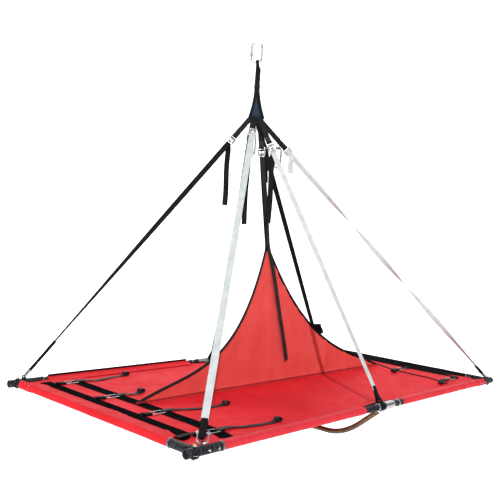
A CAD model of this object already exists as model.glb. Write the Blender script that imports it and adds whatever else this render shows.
"""Suspended double platform: the finished looks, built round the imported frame.

Metres, +Z up. The bed lies at z = 0.190 with its long rails along X. Front is -Y, rear is +Y,
left is -X and right is +X. Straps rise from the rails to a sling hung left of and behind the
middle, and a cloth divider stands along the bed.
"""
import math
import random

import bmesh
import bpy
from mathutils import Matrix, Vector, noise


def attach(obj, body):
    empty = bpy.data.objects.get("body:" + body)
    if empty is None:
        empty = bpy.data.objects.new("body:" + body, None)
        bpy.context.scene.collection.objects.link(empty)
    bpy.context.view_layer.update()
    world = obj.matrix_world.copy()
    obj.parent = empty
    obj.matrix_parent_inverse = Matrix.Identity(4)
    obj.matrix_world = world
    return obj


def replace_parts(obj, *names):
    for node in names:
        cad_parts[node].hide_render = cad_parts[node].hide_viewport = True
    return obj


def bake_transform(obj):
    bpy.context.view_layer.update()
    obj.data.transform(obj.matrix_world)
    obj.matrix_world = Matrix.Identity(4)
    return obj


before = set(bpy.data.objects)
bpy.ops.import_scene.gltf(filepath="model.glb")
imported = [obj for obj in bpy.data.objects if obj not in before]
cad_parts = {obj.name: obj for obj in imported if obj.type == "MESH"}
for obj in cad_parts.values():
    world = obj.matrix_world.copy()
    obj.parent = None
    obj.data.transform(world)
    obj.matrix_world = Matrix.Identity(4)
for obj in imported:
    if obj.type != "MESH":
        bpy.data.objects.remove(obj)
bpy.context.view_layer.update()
random.seed(7)

# ---------------------------------------------------------------- dimensions, as in the CAD
RAIL_LENGTH, RAIL_WIDTH, RAIL_Z = 2.10, 1.12, 0.190
HALF_LENGTH, HALF_WIDTH = RAIL_LENGTH / 2, RAIL_WIDTH / 2
TUBE_R, FITTING_R = 0.0130, 0.0160
BORE_R = TUBE_R + 0.0003                        # of the pieces that slide over the tube
ARM, STUB = 0.122, 0.040                        # a fitting's reach inboard and past its corner
COUPLING_R, COUPLING_SPAN, COUPLING_RINGS = 0.0143, (-0.085, 0.160), (-0.012, 0.146)
TEE_AT, TEE_LENGTH, TEE_R = 0.072, 0.066, 0.0168
REAR_SHIFT = 0.085                              # the rear rail's middle pieces lie this far right
SPREADER_R, SPREADER_KNEE, SPREADER_BEND = 0.0115, 0.345, 0.085
SPREADER_DROP = RAIL_Z - SPREADER_R
SPREADER_SLOPE = SPREADER_DROP / (HALF_WIDTH - SPREADER_KNEE)
HANG = Vector((-0.139, 0.139, 0.0))             # the sling's place in plan
FAN_BOTTOM, FAN_TOP, ROD_BOTTOM = RAIL_Z + 1.243, RAIL_Z + 1.478, RAIL_Z + 1.5085
FACING = math.radians(-46.7)                    # turn of the sling's wide side from +X
CARABINER_H, CARABINER_R = 0.0890, 0.0055
WEB, WEB_T, GAP = 0.025, 0.0022, 0.0004         # strap width, thickness and clearance
BAR_LOOP_R, PIN_LOOP_R = 0.0042, 0.0046
SHACKLE_INSET, SHACKLE_W, SHACKLE_H, SHACKLE_ROD = 0.028, 0.0355, 0.040, 0.0030
RING_X, RING_Y = 0.865, (-0.440, -0.145, 0.145, 0.440)
RING_L, RING_W, RING_ROD = 0.060, 0.034, 0.0021
BED_T = 0.006
RING_Z = RAIL_Z + BED_T / 2 + RING_ROD + 0.0012
DIVIDER_APEX = Vector((-0.077, 0.062, RAIL_Z + 0.640))
MID_LOOP = 0.016                                # middle legs' distance from their rail's middle
ACC_H, ACC_HALF, ACC_R = 0.0945, 0.0225, 0.0050
CORD_R, THREAD_R = 0.0015, 0.0004

X, Y, UP = Vector((1.0, 0.0, 0.0)), Vector((0.0, 1.0, 0.0)), Vector((0.0, 0.0, 1.0))
SLING_X = Vector((math.cos(FACING), math.sin(FACING), 0.0))
SLING_Y = Vector((-math.sin(FACING), math.cos(FACING), 0.0))

FULL_TURN = 6.2832                              # a whole turn, as the weave shaders use it


# ---------------------------------------------------------------- materials
class Shader:
    """A node material as it is put together."""

    def __init__(self, name):
        self.material = bpy.data.materials.new(name)
        self.material.use_nodes = True
        self.tree = self.material.node_tree
        self.tree.nodes.clear()
        self.output = self.tree.nodes.new("ShaderNodeOutputMaterial")
        self.bsdf = self.add("BsdfPrincipled")
        self.tree.links.new(self.bsdf.outputs[0], self.output.inputs["Surface"])

    def add(self, kind, settings=None, **inputs):
        node = self.tree.nodes.new("ShaderNode" + kind)
        for key, value in (settings or {}).items():
            setattr(node, key, value)
        for key, value in inputs.items():
            self.put(node.inputs[key.replace("_", " ")], value)
        return node

    def put(self, socket, value):
        if isinstance(value, bpy.types.NodeSocket):
            self.tree.links.new(value, socket)
        else:
            socket.default_value = value

    def coord(self, kind, scale=(1, 1, 1)):
        source = self.add("TexCoord").outputs[kind]
        return self.add("Mapping", None, Vector=source, Scale=scale).outputs[0]

    def noise(self, vector, scale, detail=4.0, rough=0.55, distort=0.0):
        return self.add("TexNoise", None, Vector=vector, Scale=scale, Detail=detail,
                        Roughness=rough, Distortion=distort).outputs["Fac"]

    def remap(self, value, from_min, from_max, to_min, to_max):
        return self.add("MapRange", None, Value=value, From_Min=from_min, From_Max=from_max,
                        To_Min=to_min, To_Max=to_max).outputs[0]

    def math(self, operation, first, second=0.0):
        node = self.add("Math", {"operation": operation})
        self.put(node.inputs[0], first)
        self.put(node.inputs[1], second)
        return node.outputs[0]

    def mix(self, factor, first, second):
        node = self.add("Mix", {"data_type": "RGBA"})
        self.put(node.inputs[0], factor)
        for i, colour in ((6, first), (7, second)):
            linked = isinstance(colour, bpy.types.NodeSocket)
            self.put(node.inputs[i], colour if linked else (*colour, 1.0))
        return node.outputs[2]

    def bump(self, height, strength, distance, normal=None):
        node = self.add("Bump", None, Height=height, Strength=strength, Distance=distance)
        if normal is not None:
            self.put(node.inputs["Normal"], normal)
        return node.outputs[0]

    def surface(self, **values):
        for key, value in values.items():
            self.put(self.bsdf.inputs[key.replace("_", " ")], value)
        return self.material


def metal(name, light, dark, rough=(0.16, 0.34), metallic=1.0, wear=None, coat=0.0, rim=0.0,
          ior=0.5):
    """Bare or anodised metal: cloudy colour, fine scratches, and rubbed edges."""
    s = Shader(name)
    place = s.coord("Object")
    cloud = s.noise(place, 38.0, 5.0, 0.6)
    colour = s.mix(s.remap(cloud, 0.35, 0.7, 0.0, 1.0), light, dark)
    if wear:
        point = s.add("NewGeometry").outputs["Pointiness"]
        rub = s.math("MULTIPLY", s.remap(point, 0.515, 0.56, 0.0, 1.0),
                     s.remap(s.noise(place, 140.0, 3.0), 0.42, 0.62, 0.0, 0.55))
        colour = s.mix(rub, colour, wear)
    if rim:                                     # darkens towards the outline
        facing = s.add("LayerWeight", None, Blend=0.45).outputs["Facing"]
        colour = s.mix(s.remap(facing, 0.35, 0.95, 0.0, rim), colour, (0.05, 0.05, 0.055))
    scratches = s.noise(s.coord("Object", (900, 900, 60)), 1.0, 3.0, 0.7)
    smudge = s.noise(place, 75.0, 4.0, 0.6)
    roughness = s.math("ADD", s.remap(smudge, 0.3, 0.7, *rough),
                       s.remap(scratches, 0.3, 0.7, -0.03, 0.03))
    normal = s.bump(scratches, 0.12, 0.0002, s.bump(cloud, 0.08, 0.0006))
    return s.surface(Base_Color=colour, Roughness=roughness, Metallic=metallic, Normal=normal,
                     Coat_Weight=coat, Coat_Roughness=0.2, Specular_IOR_Level=ior)


def fabric(name, colour, shade, light, thread=0.0011, wrinkle=0.22, through=0.10, rough=0.70,
           sheen=0.06, ior=0.28):
    """Coated cloth: plain weave, soft creases, faded patches. `through` lets light through."""
    s = Shader(name)
    uv = s.coord("UV")
    place = s.coord("Object")
    warp, weft = (s.add("TexWave", {"bands_direction": axis}, Vector=uv,
                        Scale=1.0 / thread / FULL_TURN, Distortion=0.4,
                        Detail=1.0).outputs["Fac"] for axis in "XY")
    weave = s.math("MULTIPLY", warp, weft)
    patch = s.noise(place, 5.0, 4.0, 0.55)
    crease = s.noise(s.coord("Object", (1.0, 1.0, 0.55)), 9.0, 5.0, 0.62, 1.1)
    off_middle = s.math("ABSOLUTE", s.math("SUBTRACT", crease, 0.5))
    ridge = s.math("SUBTRACT", 1.0, s.math("MULTIPLY", off_middle, 14.0))
    ridge = s.remap(ridge, 0.0, 1.0, 0.0, 1.0)
    base = s.mix(s.remap(patch, 0.35, 0.68, 0.0, 1.0), colour, shade)
    base = s.mix(s.math("MULTIPLY", ridge, 0.07), base, light)
    base = s.mix(s.remap(weave, 0.0, 0.25, 0.16, 0.0), base, shade)
    soft = s.bump(crease, wrinkle, 0.010)
    normal = s.bump(weave, 0.25, 0.0003, s.bump(ridge, 0.05, 0.0010, soft))
    roughness = s.remap(s.noise(place, 24.0, 3.0), 0.3, 0.7, rough - 0.09, rough + 0.09)
    s.surface(Base_Color=base, Roughness=roughness, Normal=normal, Sheen_Weight=sheen,
              Sheen_Roughness=0.4, Sheen_Tint=(*light, 1.0), Specular_IOR_Level=ior)
    if through:
        lit = s.add("BsdfTranslucent", None, Color=base, Normal=normal)
        both = s.add("MixShader", None, Fac=through)
        s.put(both.inputs[1], s.bsdf.outputs[0])
        s.put(both.inputs[2], lit.outputs[0])
        s.put(s.output.inputs["Surface"], both.outputs[0])
    return s.material


def webbing(name, colour, shade, edge, rough=0.6, pitch=0.0016, sheen=0.02, ior=0.2):
    """Woven strap: chevron ribs, firm edges, dust. UV: u across, v metres along."""
    s = Shader(name)
    split = s.add("SeparateXYZ", None, Vector=s.add("TexCoord").outputs["UV"])
    u, v = split.outputs[0], split.outputs[1]
    off_middle = s.math("ABSOLUTE", s.math("SUBTRACT", u, 0.5))
    chevron = s.math("ADD", s.math("MULTIPLY", v, FULL_TURN / pitch),
                     s.math("MULTIPLY", off_middle, 26.0))
    rib = s.remap(s.math("SINE", chevron), -1.0, 1.0, 0.0, 1.0)
    cord = s.remap(s.math("SINE", s.math("MULTIPLY", u, FULL_TURN * 11)), -1.0, 1.0, 0.0, 1.0)
    weave = s.math("MULTIPLY", rib, s.math("ADD", 0.35, s.math("MULTIPLY", cord, 0.65)))
    dust = s.noise(s.coord("Object"), 30.0, 4.0, 0.6)
    base = s.mix(s.remap(dust, 0.35, 0.7, 0.0, 1.0), colour, shade)
    base = s.mix(s.remap(weave, 0.0, 0.6, 0.35, 0.0), base, shade)
    base = s.mix(s.remap(off_middle, 0.43, 0.49, 0.0, 0.8), base, edge)
    roughness = s.remap(dust, 0.3, 0.7, rough - 0.08, rough + 0.08)
    border = s.bump(s.remap(off_middle, 0.40, 0.46, 0.0, 1.0), 0.25, 0.0004)
    return s.surface(Base_Color=base, Roughness=roughness, Sheen_Weight=sheen,
                     Normal=s.bump(weave, 0.45, 0.0005, border), Specular_IOR_Level=ior)


def braid(name, colour, shade, pitch=0.0035, rough=0.7):
    """Round cord with a crossed braid. UV: u once round, v metres along."""
    s = Shader(name)
    split = s.add("SeparateXYZ", None, Vector=s.add("TexCoord").outputs["UV"])
    around = s.math("MULTIPLY", split.outputs[0], FULL_TURN * 3)
    along = s.math("MULTIPLY", split.outputs[1], FULL_TURN / pitch)
    one = s.math("SINE", s.math("ADD", around, along))
    two = s.math("SINE", s.math("SUBTRACT", around, along))
    height = s.remap(s.math("MULTIPLY", one, two), -1.0, 1.0, 0.0, 1.0)
    base = s.mix(height, shade, colour)
    cloud = s.noise(s.coord("Object"), 90.0)
    base = s.mix(s.remap(cloud, 0.35, 0.7, 0.0, 0.4), base, shade)
    return s.surface(Base_Color=base, Roughness=rough, Normal=s.bump(height, 0.5, 0.0004),
                     Specular_IOR_Level=0.2)


BLACK = metal("black_anodised_look", light=(0.004, 0.0045, 0.006), dark=(0.009, 0.011, 0.017),
              rough=(0.26, 0.44), metallic=0.03, wear=(0.12, 0.125, 0.14), ior=0.03)
STEEL = metal("steel_look", light=(0.66, 0.67, 0.69), dark=(0.44, 0.45, 0.48),
              rough=(0.10, 0.30), rim=0.85)
BUCKLE = metal("buckle_look", light=(0.58, 0.59, 0.61), dark=(0.36, 0.37, 0.40),
               rough=(0.16, 0.38), wear=(0.85, 0.85, 0.87), rim=0.8)
COLLAR = metal("collar_look", light=(0.20, 0.21, 0.23), dark=(0.11, 0.12, 0.14),
               rough=(0.26, 0.45), metallic=0.9, wear=(0.5, 0.5, 0.52), rim=0.5)
BRASS = metal("bolt_look", light=(0.55, 0.45, 0.25), dark=(0.34, 0.28, 0.16),
              rough=(0.20, 0.40), wear=(0.8, 0.75, 0.6), rim=0.6)
BRONZE = metal("bronze_look", light=(0.130, 0.088, 0.040), dark=(0.062, 0.044, 0.024),
               rough=(0.28, 0.50), metallic=0.75, wear=(0.34, 0.26, 0.15), coat=0.05, rim=0.5)
RED = fabric("red_cloth", colour=(0.735, 0.024, 0.034), shade=(0.630, 0.016, 0.025),
             light=(0.86, 0.085, 0.080), sheen=0.0, ior=0.06)
RED_SLEEVE = fabric("red_sleeve_cloth", colour=(0.735, 0.036, 0.052),
                    shade=(0.620, 0.024, 0.038), light=(0.90, 0.16, 0.17), sheen=0.02,
                    ior=0.14, wrinkle=0.34)
RED_DIVIDER = fabric("red_divider_cloth", colour=(0.780, 0.086, 0.078),
                     shade=(0.700, 0.066, 0.062), light=(0.88, 0.18, 0.15), sheen=0.0, ior=0.10)
SEAM = fabric("dark_red_seam", colour=(0.40, 0.016, 0.024), shade=(0.30, 0.010, 0.016),
              light=(0.50, 0.03, 0.03), thread=0.0009, wrinkle=0.1, through=0.0)
BLUE = fabric("blue_panel", colour=(0.016, 0.034, 0.058), shade=(0.009, 0.020, 0.036),
              light=(0.05, 0.08, 0.13), thread=0.0009, wrinkle=0.2, through=0.0, rough=0.6,
              sheen=0.02, ior=0.15)
BLACK_CLOTH = fabric("black_cloth", colour=(0.006, 0.006, 0.007), shade=(0.010, 0.010, 0.012),
                     light=(0.035, 0.035, 0.042), thread=0.0009, wrinkle=0.30, through=0.0,
                     rough=0.60, sheen=0.0, ior=0.0)
WHITE_WEB = webbing("white_strap", colour=(0.58, 0.61, 0.62), shade=(0.44, 0.47, 0.48),
                    edge=(0.50, 0.52, 0.53), rough=0.62)
BLACK_WEB = webbing("black_strap", colour=(0.0060, 0.0060, 0.0068), shade=(0.014, 0.013, 0.013),
                    edge=(0.004, 0.004, 0.004), rough=0.60, ior=0.03, sheen=0.0)
GLOSSY_WEB = webbing("glossy_strap", colour=(0.0035, 0.0035, 0.0040),
                     shade=(0.008, 0.008, 0.009), edge=(0.003, 0.003, 0.003), rough=0.62,
                     ior=0.0, sheen=0.0)
GREY_WEB = webbing("dark_grey_strap", colour=(0.022, 0.020, 0.021), shade=(0.012, 0.011, 0.011),
                   edge=(0.008, 0.007, 0.008), rough=0.62, ior=0.12)
BROWN_WEB = webbing("brown_strap", colour=(0.014, 0.014, 0.012), shade=(0.007, 0.007, 0.006),
                    edge=(0.005, 0.005, 0.005), rough=0.60, ior=0.12)
CORD = braid("black_cord", colour=(0.012, 0.012, 0.013), shade=(0.004, 0.004, 0.005))
THREAD = braid("light_thread", colour=(0.42, 0.42, 0.43), shade=(0.22, 0.22, 0.23),
               pitch=0.0016, rough=0.6)
DARK_THREAD = braid("dark_thread", colour=(0.030, 0.030, 0.034), shade=(0.014, 0.014, 0.018),
                    pitch=0.0016, rough=0.6)
DEFAULT_SLOT = "black_webbing"
SLOTS = {"black_anodised_look": "black_anodised", "steel_look": "polished_steel",
         "buckle_look": "polished_steel", "collar_look": "black_anodised",
         "bolt_look": "polished_steel", "bronze_look": "bronze_anodised",
         "red_cloth": "red_fabric", "dark_red_seam": "red_fabric",
         "white_strap": "white_webbing", "light_thread": "white_webbing"}


# ---------------------------------------------------------------- numbers and lines
def angles(first, step, count):
    """Evenly stepped angles, given in degrees and returned in radians."""
    return [math.radians(first + step * i) for i in range(count)]


def spread(start, end, count):
    return [start + (end - start) * i / count for i in range(count + 1)]


def ease(t):
    t = max(0.0, min(1.0, t))
    return t * t * (3 - 2 * t)


def bumps(*at):
    return noise.noise(Vector(at))


def basis(x, y, z, at):
    matrix = Matrix.Identity(4)
    for i, axis in enumerate((x, y, z)):
        matrix[0][i], matrix[1][i], matrix[2][i] = axis.x, axis.y, axis.z
    matrix.translation = at
    return matrix


def lengths(points, closed=False):
    """Running length at each point, and back at the first one when closed."""
    run = [0.0]
    for a, b in zip(points, points[1:]):
        run.append(run[-1] + (b - a).length)
    if closed:
        run.append(run[-1] + (points[0] - points[-1]).length)
    return run


def locate(run, distance):
    """The span of a running length that holds a distance, and the share of it passed."""
    k = next((i for i in range(len(run) - 1) if run[i + 1] >= distance), len(run) - 2)
    return k, (distance - run[k]) / ((run[k + 1] - run[k]) or 1.0)


def smooth_line(points, widths=None, step=0.003, closed=False):
    """A smooth line through the points, with its widths; straight runs stay straight."""
    count = len(points)
    spans = count if closed else count - 1
    gaps = [points[(i + 1) % count] - points[i] for i in range(spans)]
    sizes = [gap.length for gap in gaps]
    dirs = [gap.normalized() for gap in gaps]
    tangents = []
    for i in range(count):
        if not closed and i in (0, count - 1):
            tangents.append(dirs[min(i, spans - 1)])
            continue
        before, after = sizes[i - 1], sizes[i % spans]
        dir_in, dir_out = dirs[i - 1], dirs[i % spans]
        if before > 3 * after:
            tangents.append(dir_in)
        elif after > 3 * before:
            tangents.append(dir_out)
        else:
            tangents.append((dir_in * after + dir_out * before).normalized())
    line, across = [], []
    for i in range(spans):
        k = (i + 1) % count
        pull_in, pull_out = tangents[i] * sizes[i], tangents[k] * sizes[i]
        straight = all(tangents[j].dot(dirs[i]) > 0.9995 for j in (i, k))
        parts = max(1, math.ceil(sizes[i] / (0.03 if straight else step)))
        if widths and widths[i].normalized().dot(widths[k].normalized()) < 0.995:
            parts = max(parts, 4)
        for j in range(parts):
            t = j / parts
            line.append(points[i] * (2*t**3 - 3*t**2 + 1) + pull_in * (t**3 - 2*t**2 + t) +
                        points[k] * (-2*t**3 + 3*t**2) + pull_out * (t**3 - t**2))
            if widths:
                across.append(widths[i].lerp(widths[k], t))
    if not closed:
        line.append(points[-1].copy())
        if widths:
            across.append(widths[-1])
    return line, across


def resample(values, points, line):
    """Values given at the points, read off along a smoothed line through them."""
    marks, run = lengths(points), lengths(line)
    total = run[-1] or 1.0
    out = []
    for distance in run:
        k, part = locate(marks, distance / total * marks[-1])
        out.append(values[k] * (1 - part) + values[k + 1] * part)
    return out


def as_list(value, count):
    return value if isinstance(value, list) else [value] * count


def line_tangents(points, closed):
    count = len(points)
    out = []
    for i in range(count):
        before = points[i - 1] if i > 0 or closed else points[i]
        after = points[(i + 1) % count] if i < count - 1 or closed else points[i]
        out.append((after - before).normalized())
    return out


# ---------------------------------------------------------------- mesh tools
def settle(obj, body):
    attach(obj, body)
    SLOTS.get(obj.data.materials[0].name, DEFAULT_SLOT)
    return obj


def link(name, mesh):
    obj = bpy.data.objects.new(name, mesh)
    bpy.context.scene.collection.objects.link(obj)
    return obj


def shade(mesh, angle):
    mesh.shade_smooth()
    mesh.set_sharp_from_angle(angle=math.radians(angle))


def make(name, verts, faces, uvs, mat, body="root", angle=40.0, ride=True):
    """A mesh object with one UV per face corner, facing outwards, riding on its body."""
    mesh = bpy.data.meshes.new(name)
    mesh.from_pydata([tuple(v) for v in verts], [], faces)
    layer = mesh.uv_layers.new(name="UVMap")
    layer.data.foreach_set("uv", [c for face in uvs for uv in face for c in uv])
    bm = bmesh.new()
    bm.from_mesh(mesh)
    bmesh.ops.recalc_face_normals(bm, faces=bm.faces)
    bm.to_mesh(mesh)
    bm.free()
    shade(mesh, angle)
    mesh.materials.append(mat)
    obj = link(name, mesh)
    return settle(obj, body) if ride else obj


def sweep_data(rows, us, vs, ring=True, closed=False, base=0):
    """Skin over rows of points: verts, faces, UVs. A run of rings that isn't closed is capped."""
    count, size = len(rows), len(rows[0])
    faces, uvs = [], []
    for i in range(count if closed else count - 1):
        low, high = base + i * size, base + (i + 1) % count * size
        for j in range(size if ring else size - 1):
            k = (j + 1) % size
            faces.append((low + j, low + k, high + k, high + j))
            uvs.append(((us[j], vs[i]), (us[j + 1], vs[i]),
                        (us[j + 1], vs[i + 1]), (us[j], vs[i + 1])))
    if ring and not closed:
        for i, order in ((0, -1), (count - 1, 1)):
            faces.append(tuple(base + i * size + j for j in range(size))[::order])
            uvs.append([(us[j], vs[i]) for j in range(size)][::order])
    return [p for row in rows for p in row], faces, uvs


def sweep(name, rows, us, vs, mat, body="root", closed=False, angle=40.0, ride=True):
    return make(name, *sweep_data(rows, us, vs, closed=closed), mat, body, angle, ride)


def strap(name, centres, widths, width, thickness, mat, step=0.003, closed=False, smooth=True,
          curl=0.0, ride=True):
    """A band with rounded edges through the centres. curl bends its edges over."""
    sizes = as_list(width, len(centres))
    if smooth:
        points = centres
        centres, widths = smooth_line(points, widths, step, closed)
        sizes = resample(sizes, points, centres)
    r = thickness / 2
    rows = []
    for centre, across, size, along in zip(centres, widths, sizes,
                                           line_tangents(centres, closed)):
        across = across - along * across.dot(along)
        across.normalize()
        normal = along.cross(across)
        half = size / 2
        flat, bevel = half - r, r * 0.7
        profile = [(flat * s, r) for s in (1, 0.5, 0, -0.5, -1)]
        profile += [(-flat - bevel, bevel), (-half, 0), (-flat - bevel, -bevel)]
        profile += [(flat * s, -r) for s in (-1, -0.5, 0, 0.5, 1)]
        profile += [(flat + bevel, -bevel), (half, 0), (flat + bevel, bevel)]
        rows.append([centre + across * x + normal * (z - curl * (x / half) ** 2)
                     for x, z in profile])
    us = [min(1.0, max(0.0, (x / (sizes[0] / 2) + 1) / 2)) for x, z in profile]
    return sweep(name, rows, us + us[:1], lengths(centres, closed), mat, closed=closed,
                 ride=ride)


def pipe(name, points, radius, mat, body="root", sides=16, closed=False, smooth=True,
         step=0.003, squeeze=None, ride=True):
    """A round bar through the points. squeeze is a direction and the scale along it."""
    centres = points
    radii = as_list(radius, len(points))
    if smooth:
        centres, _ = smooth_line(points, None, step, closed)
        radii = resample(radii, points, centres)
    tangents = line_tangents(centres, closed)
    x = tangents[0].orthogonal()
    rows = []
    for centre, r, along in zip(centres, radii, tangents):
        x = x - along * x.dot(along)
        x.normalize()
        y = along.cross(x)
        row = []
        for j in range(sides):
            a = 2 * math.pi * j / sides
            offset = x * (r * math.cos(a)) + y * (r * math.sin(a))
            if squeeze:
                offset = offset - squeeze[0] * offset.dot(squeeze[0]) * (1 - squeeze[1])
            row.append(centre + offset)
        rows.append(row)
    return sweep(name, rows, spread(0, 1, sides), lengths(centres, closed), mat, body,
                 closed=closed, ride=ride, angle=50)


def lathe(name, profile, start, direction, mat, body="root", sides=32, closed=False, ride=True,
          first_side=None):
    """(radius, distance) turned round a line. A closed profile makes a ring or a sleeve."""
    z = direction.normalized()
    x = first_side or z.orthogonal()
    x = (x - z * x.dot(z)).normalized()
    y = z.cross(x)
    rows = []
    for r, distance in profile:
        r = max(r, 0.00002)
        turns = [2 * math.pi * j / sides for j in range(sides)]
        rows.append([start + z * distance + x * (r * math.cos(a)) + y * (r * math.sin(a))
                     for a in turns])
    vs = [0.0]
    for (r0, d0), (r1, d1) in zip(profile, profile[1:]):
        vs.append(vs[-1] + math.hypot(r1 - r0, d1 - d0))
    vs.append(vs[-1])
    return sweep(name, rows, spread(0, 1, sides), vs, mat, body, closed=closed, ride=ride,
                 angle=35)


def sleeve_profile(outer, inner, length, edge, grooves):
    """A tube's closed profile with rounded rims; grooves are (place, width, depth) outside."""
    points = [(inner, edge), (inner + edge * 0.4, 0.0), (outer - edge, 0.0),
              (outer - edge * 0.3, edge * 0.3), (outer, edge)]
    for at, wide, deep in grooves:
        low, high = at - wide / 2, at + wide / 2
        points += [(outer, low - 0.0004), (outer - deep * 0.8, low),
                   (outer - deep, low + 0.0003), (outer - deep, high - 0.0003),
                   (outer - deep * 0.8, high), (outer, high + 0.0004)]
    return points + [(outer, length - edge), (outer - edge * 0.3, length - edge * 0.3),
                     (outer - edge, length), (inner + edge * 0.4, length),
                     (inner, length - edge)]


def rounded(wide, high, r, steps=4):
    """A rectangle about the origin with rounded corners."""
    x, y = wide / 2 - r, high / 2 - r
    return [(cx + r * math.cos(a), cy + r * math.sin(a))
            for cx, cy, first in ((x, y, 0), (-x, y, 90), (-x, -y, 180), (x, -y, 270))
            for a in angles(first, 90 / steps, steps + 1)]


def plate(name, loops, thickness, mat, place, bevel=0.0005, ride=True):
    """A flat plate from closed loops with rounded edges; inner loops are windows."""
    data = bpy.data.curves.new(name + "_outline", "CURVE")
    data.dimensions = "2D"
    data.fill_mode = "BOTH"
    data.extrude = thickness / 2 - bevel
    data.bevel_depth = bevel
    data.bevel_resolution = 2
    data.offset = -bevel
    for loop in loops:
        line = data.splines.new("POLY")
        line.points.add(len(loop) - 1)
        for point, (x, y) in zip(line.points, loop):
            point.co = (x, y, 0.0, 1.0)
        line.use_cyclic_u = True
    temp = link(name + "_outline", data)
    bpy.context.view_layer.update()
    depsgraph = bpy.context.evaluated_depsgraph_get()
    mesh = bpy.data.meshes.new_from_object(temp.evaluated_get(depsgraph))
    bpy.data.objects.remove(temp, do_unlink=True)
    bpy.data.curves.remove(data)
    bm = bmesh.new()
    bm.from_mesh(mesh)
    bmesh.ops.remove_doubles(bm, verts=bm.verts, dist=0.00002)
    bmesh.ops.recalc_face_normals(bm, faces=bm.faces)
    bm.to_mesh(mesh)
    bm.free()
    mesh.transform(place)
    shade(mesh, 40)
    mesh.materials.clear()
    mesh.materials.append(mat)
    obj = link(name, mesh)
    return settle(obj, "root") if ride else obj


def join(name, objs, body="root"):
    """One piece from several: their meshes in world space, materials kept."""
    bm = bmesh.new()
    mats = []
    for obj in objs:
        for mat in obj.data.materials:
            if mat not in mats:
                mats.append(mat)
    for obj in objs:
        start = len(bm.faces)
        bm.from_mesh(obj.data)
        bm.faces.ensure_lookup_table()
        for face in bm.faces[start:]:
            face.material_index = mats.index(obj.data.materials[face.material_index])
    mesh = bpy.data.meshes.new(name)
    bm.to_mesh(mesh)
    bm.free()
    for mat in mats:
        mesh.materials.append(mat)
    for obj in objs:
        bpy.data.objects.remove(obj, do_unlink=True)
    return settle(link(name, mesh), body)


def stitches(name, lines, mat=DARK_THREAD, pitch=0.0048, length=0.0034):
    """Rows of thread. Each line is (points, normal): short capsules laid along it."""
    verts, faces, uvs = [], [], []
    for points, up in lines:
        run = lengths(points)
        total = run[-1]
        count = max(1, int(total / pitch))
        for i in range(count):
            k, part = locate(run, (i + 0.5) * total / count)
            centre = points[k].lerp(points[k + 1], part)
            along = (points[k + 1] - points[k]).normalized()
            normal = (up - along * up.dot(along)).normalized()
            across = along.cross(normal)
            rows = []
            for place, swell in ((-0.5, 0.15), (-0.36, 0.8), (0.0, 1.0), (0.36, 0.8),
                                 (0.5, 0.15)):
                r = THREAD_R * swell
                rows.append([centre + along * (place * length) + across * (r * math.cos(a)) +
                             normal * (r * math.sin(a) + r * 0.25)
                             for a in (0.0, 1.2566, 2.5133, 3.7699, 5.0265)])
            data = sweep_data(rows, [0, .2, .4, .6, .8, 1], [0, .001, .002, .003, .004],
                              base=len(verts))
            verts += data[0]
            faces += data[1]
            uvs += data[2]
    make(name, verts, faces, uvs, mat, angle=60)


def box_stitch(centre, along, across, up, length, width):
    """The lines of a sewn box with its diagonals."""
    a, b = along * (length / 2), across * (width / 2)
    c = [centre - a - b, centre + a - b, centre + a + b, centre - a + b]
    return [([c[i], c[j]], up) for i, j in ((0, 1), (1, 2), (2, 3), (3, 0), (0, 2), (1, 3))]


# ---------------------------------------------------------------- tube frame
CORNERS = {"front_left": (-1, -1), "front_right": (1, -1),
           "rear_left": (-1, 1), "rear_right": (1, 1)}
SIDES = (("front", -1), ("rear", 1))


def corner_point(sx, sy):
    return Vector((sx * RAIL_LENGTH / 2, sy * RAIL_WIDTH / 2, RAIL_Z))


def shackle_frame(sx, sy):
    """The eye on a corner fitting, and the direction of its shackle's pin."""
    eye = corner_point(sx, sy) + Vector((-sx * SHACKLE_INSET, 0.0, FITTING_R + 0.0075))
    lean = (HANG - Vector((eye.x, eye.y, 0.0))).normalized()
    return eye, UP.cross(lean)


def pin_point(sx, sy):
    """A shackle pin's middle, the shackle's upward direction and the pin's direction."""
    eye, pin = shackle_frame(sx, sy)
    up = Vector((HANG.x, HANG.y, FAN_BOTTOM)) - eye
    up = (up - pin * up.dot(pin)).normalized()
    return eye + up * (SHACKLE_H - 0.004), up, pin


def hex_profile(r, height):
    return [(0.0, 0.0), (r, 0.0), (r, height - 0.0008), (r - 0.0008, height), (0.0, height)]


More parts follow.
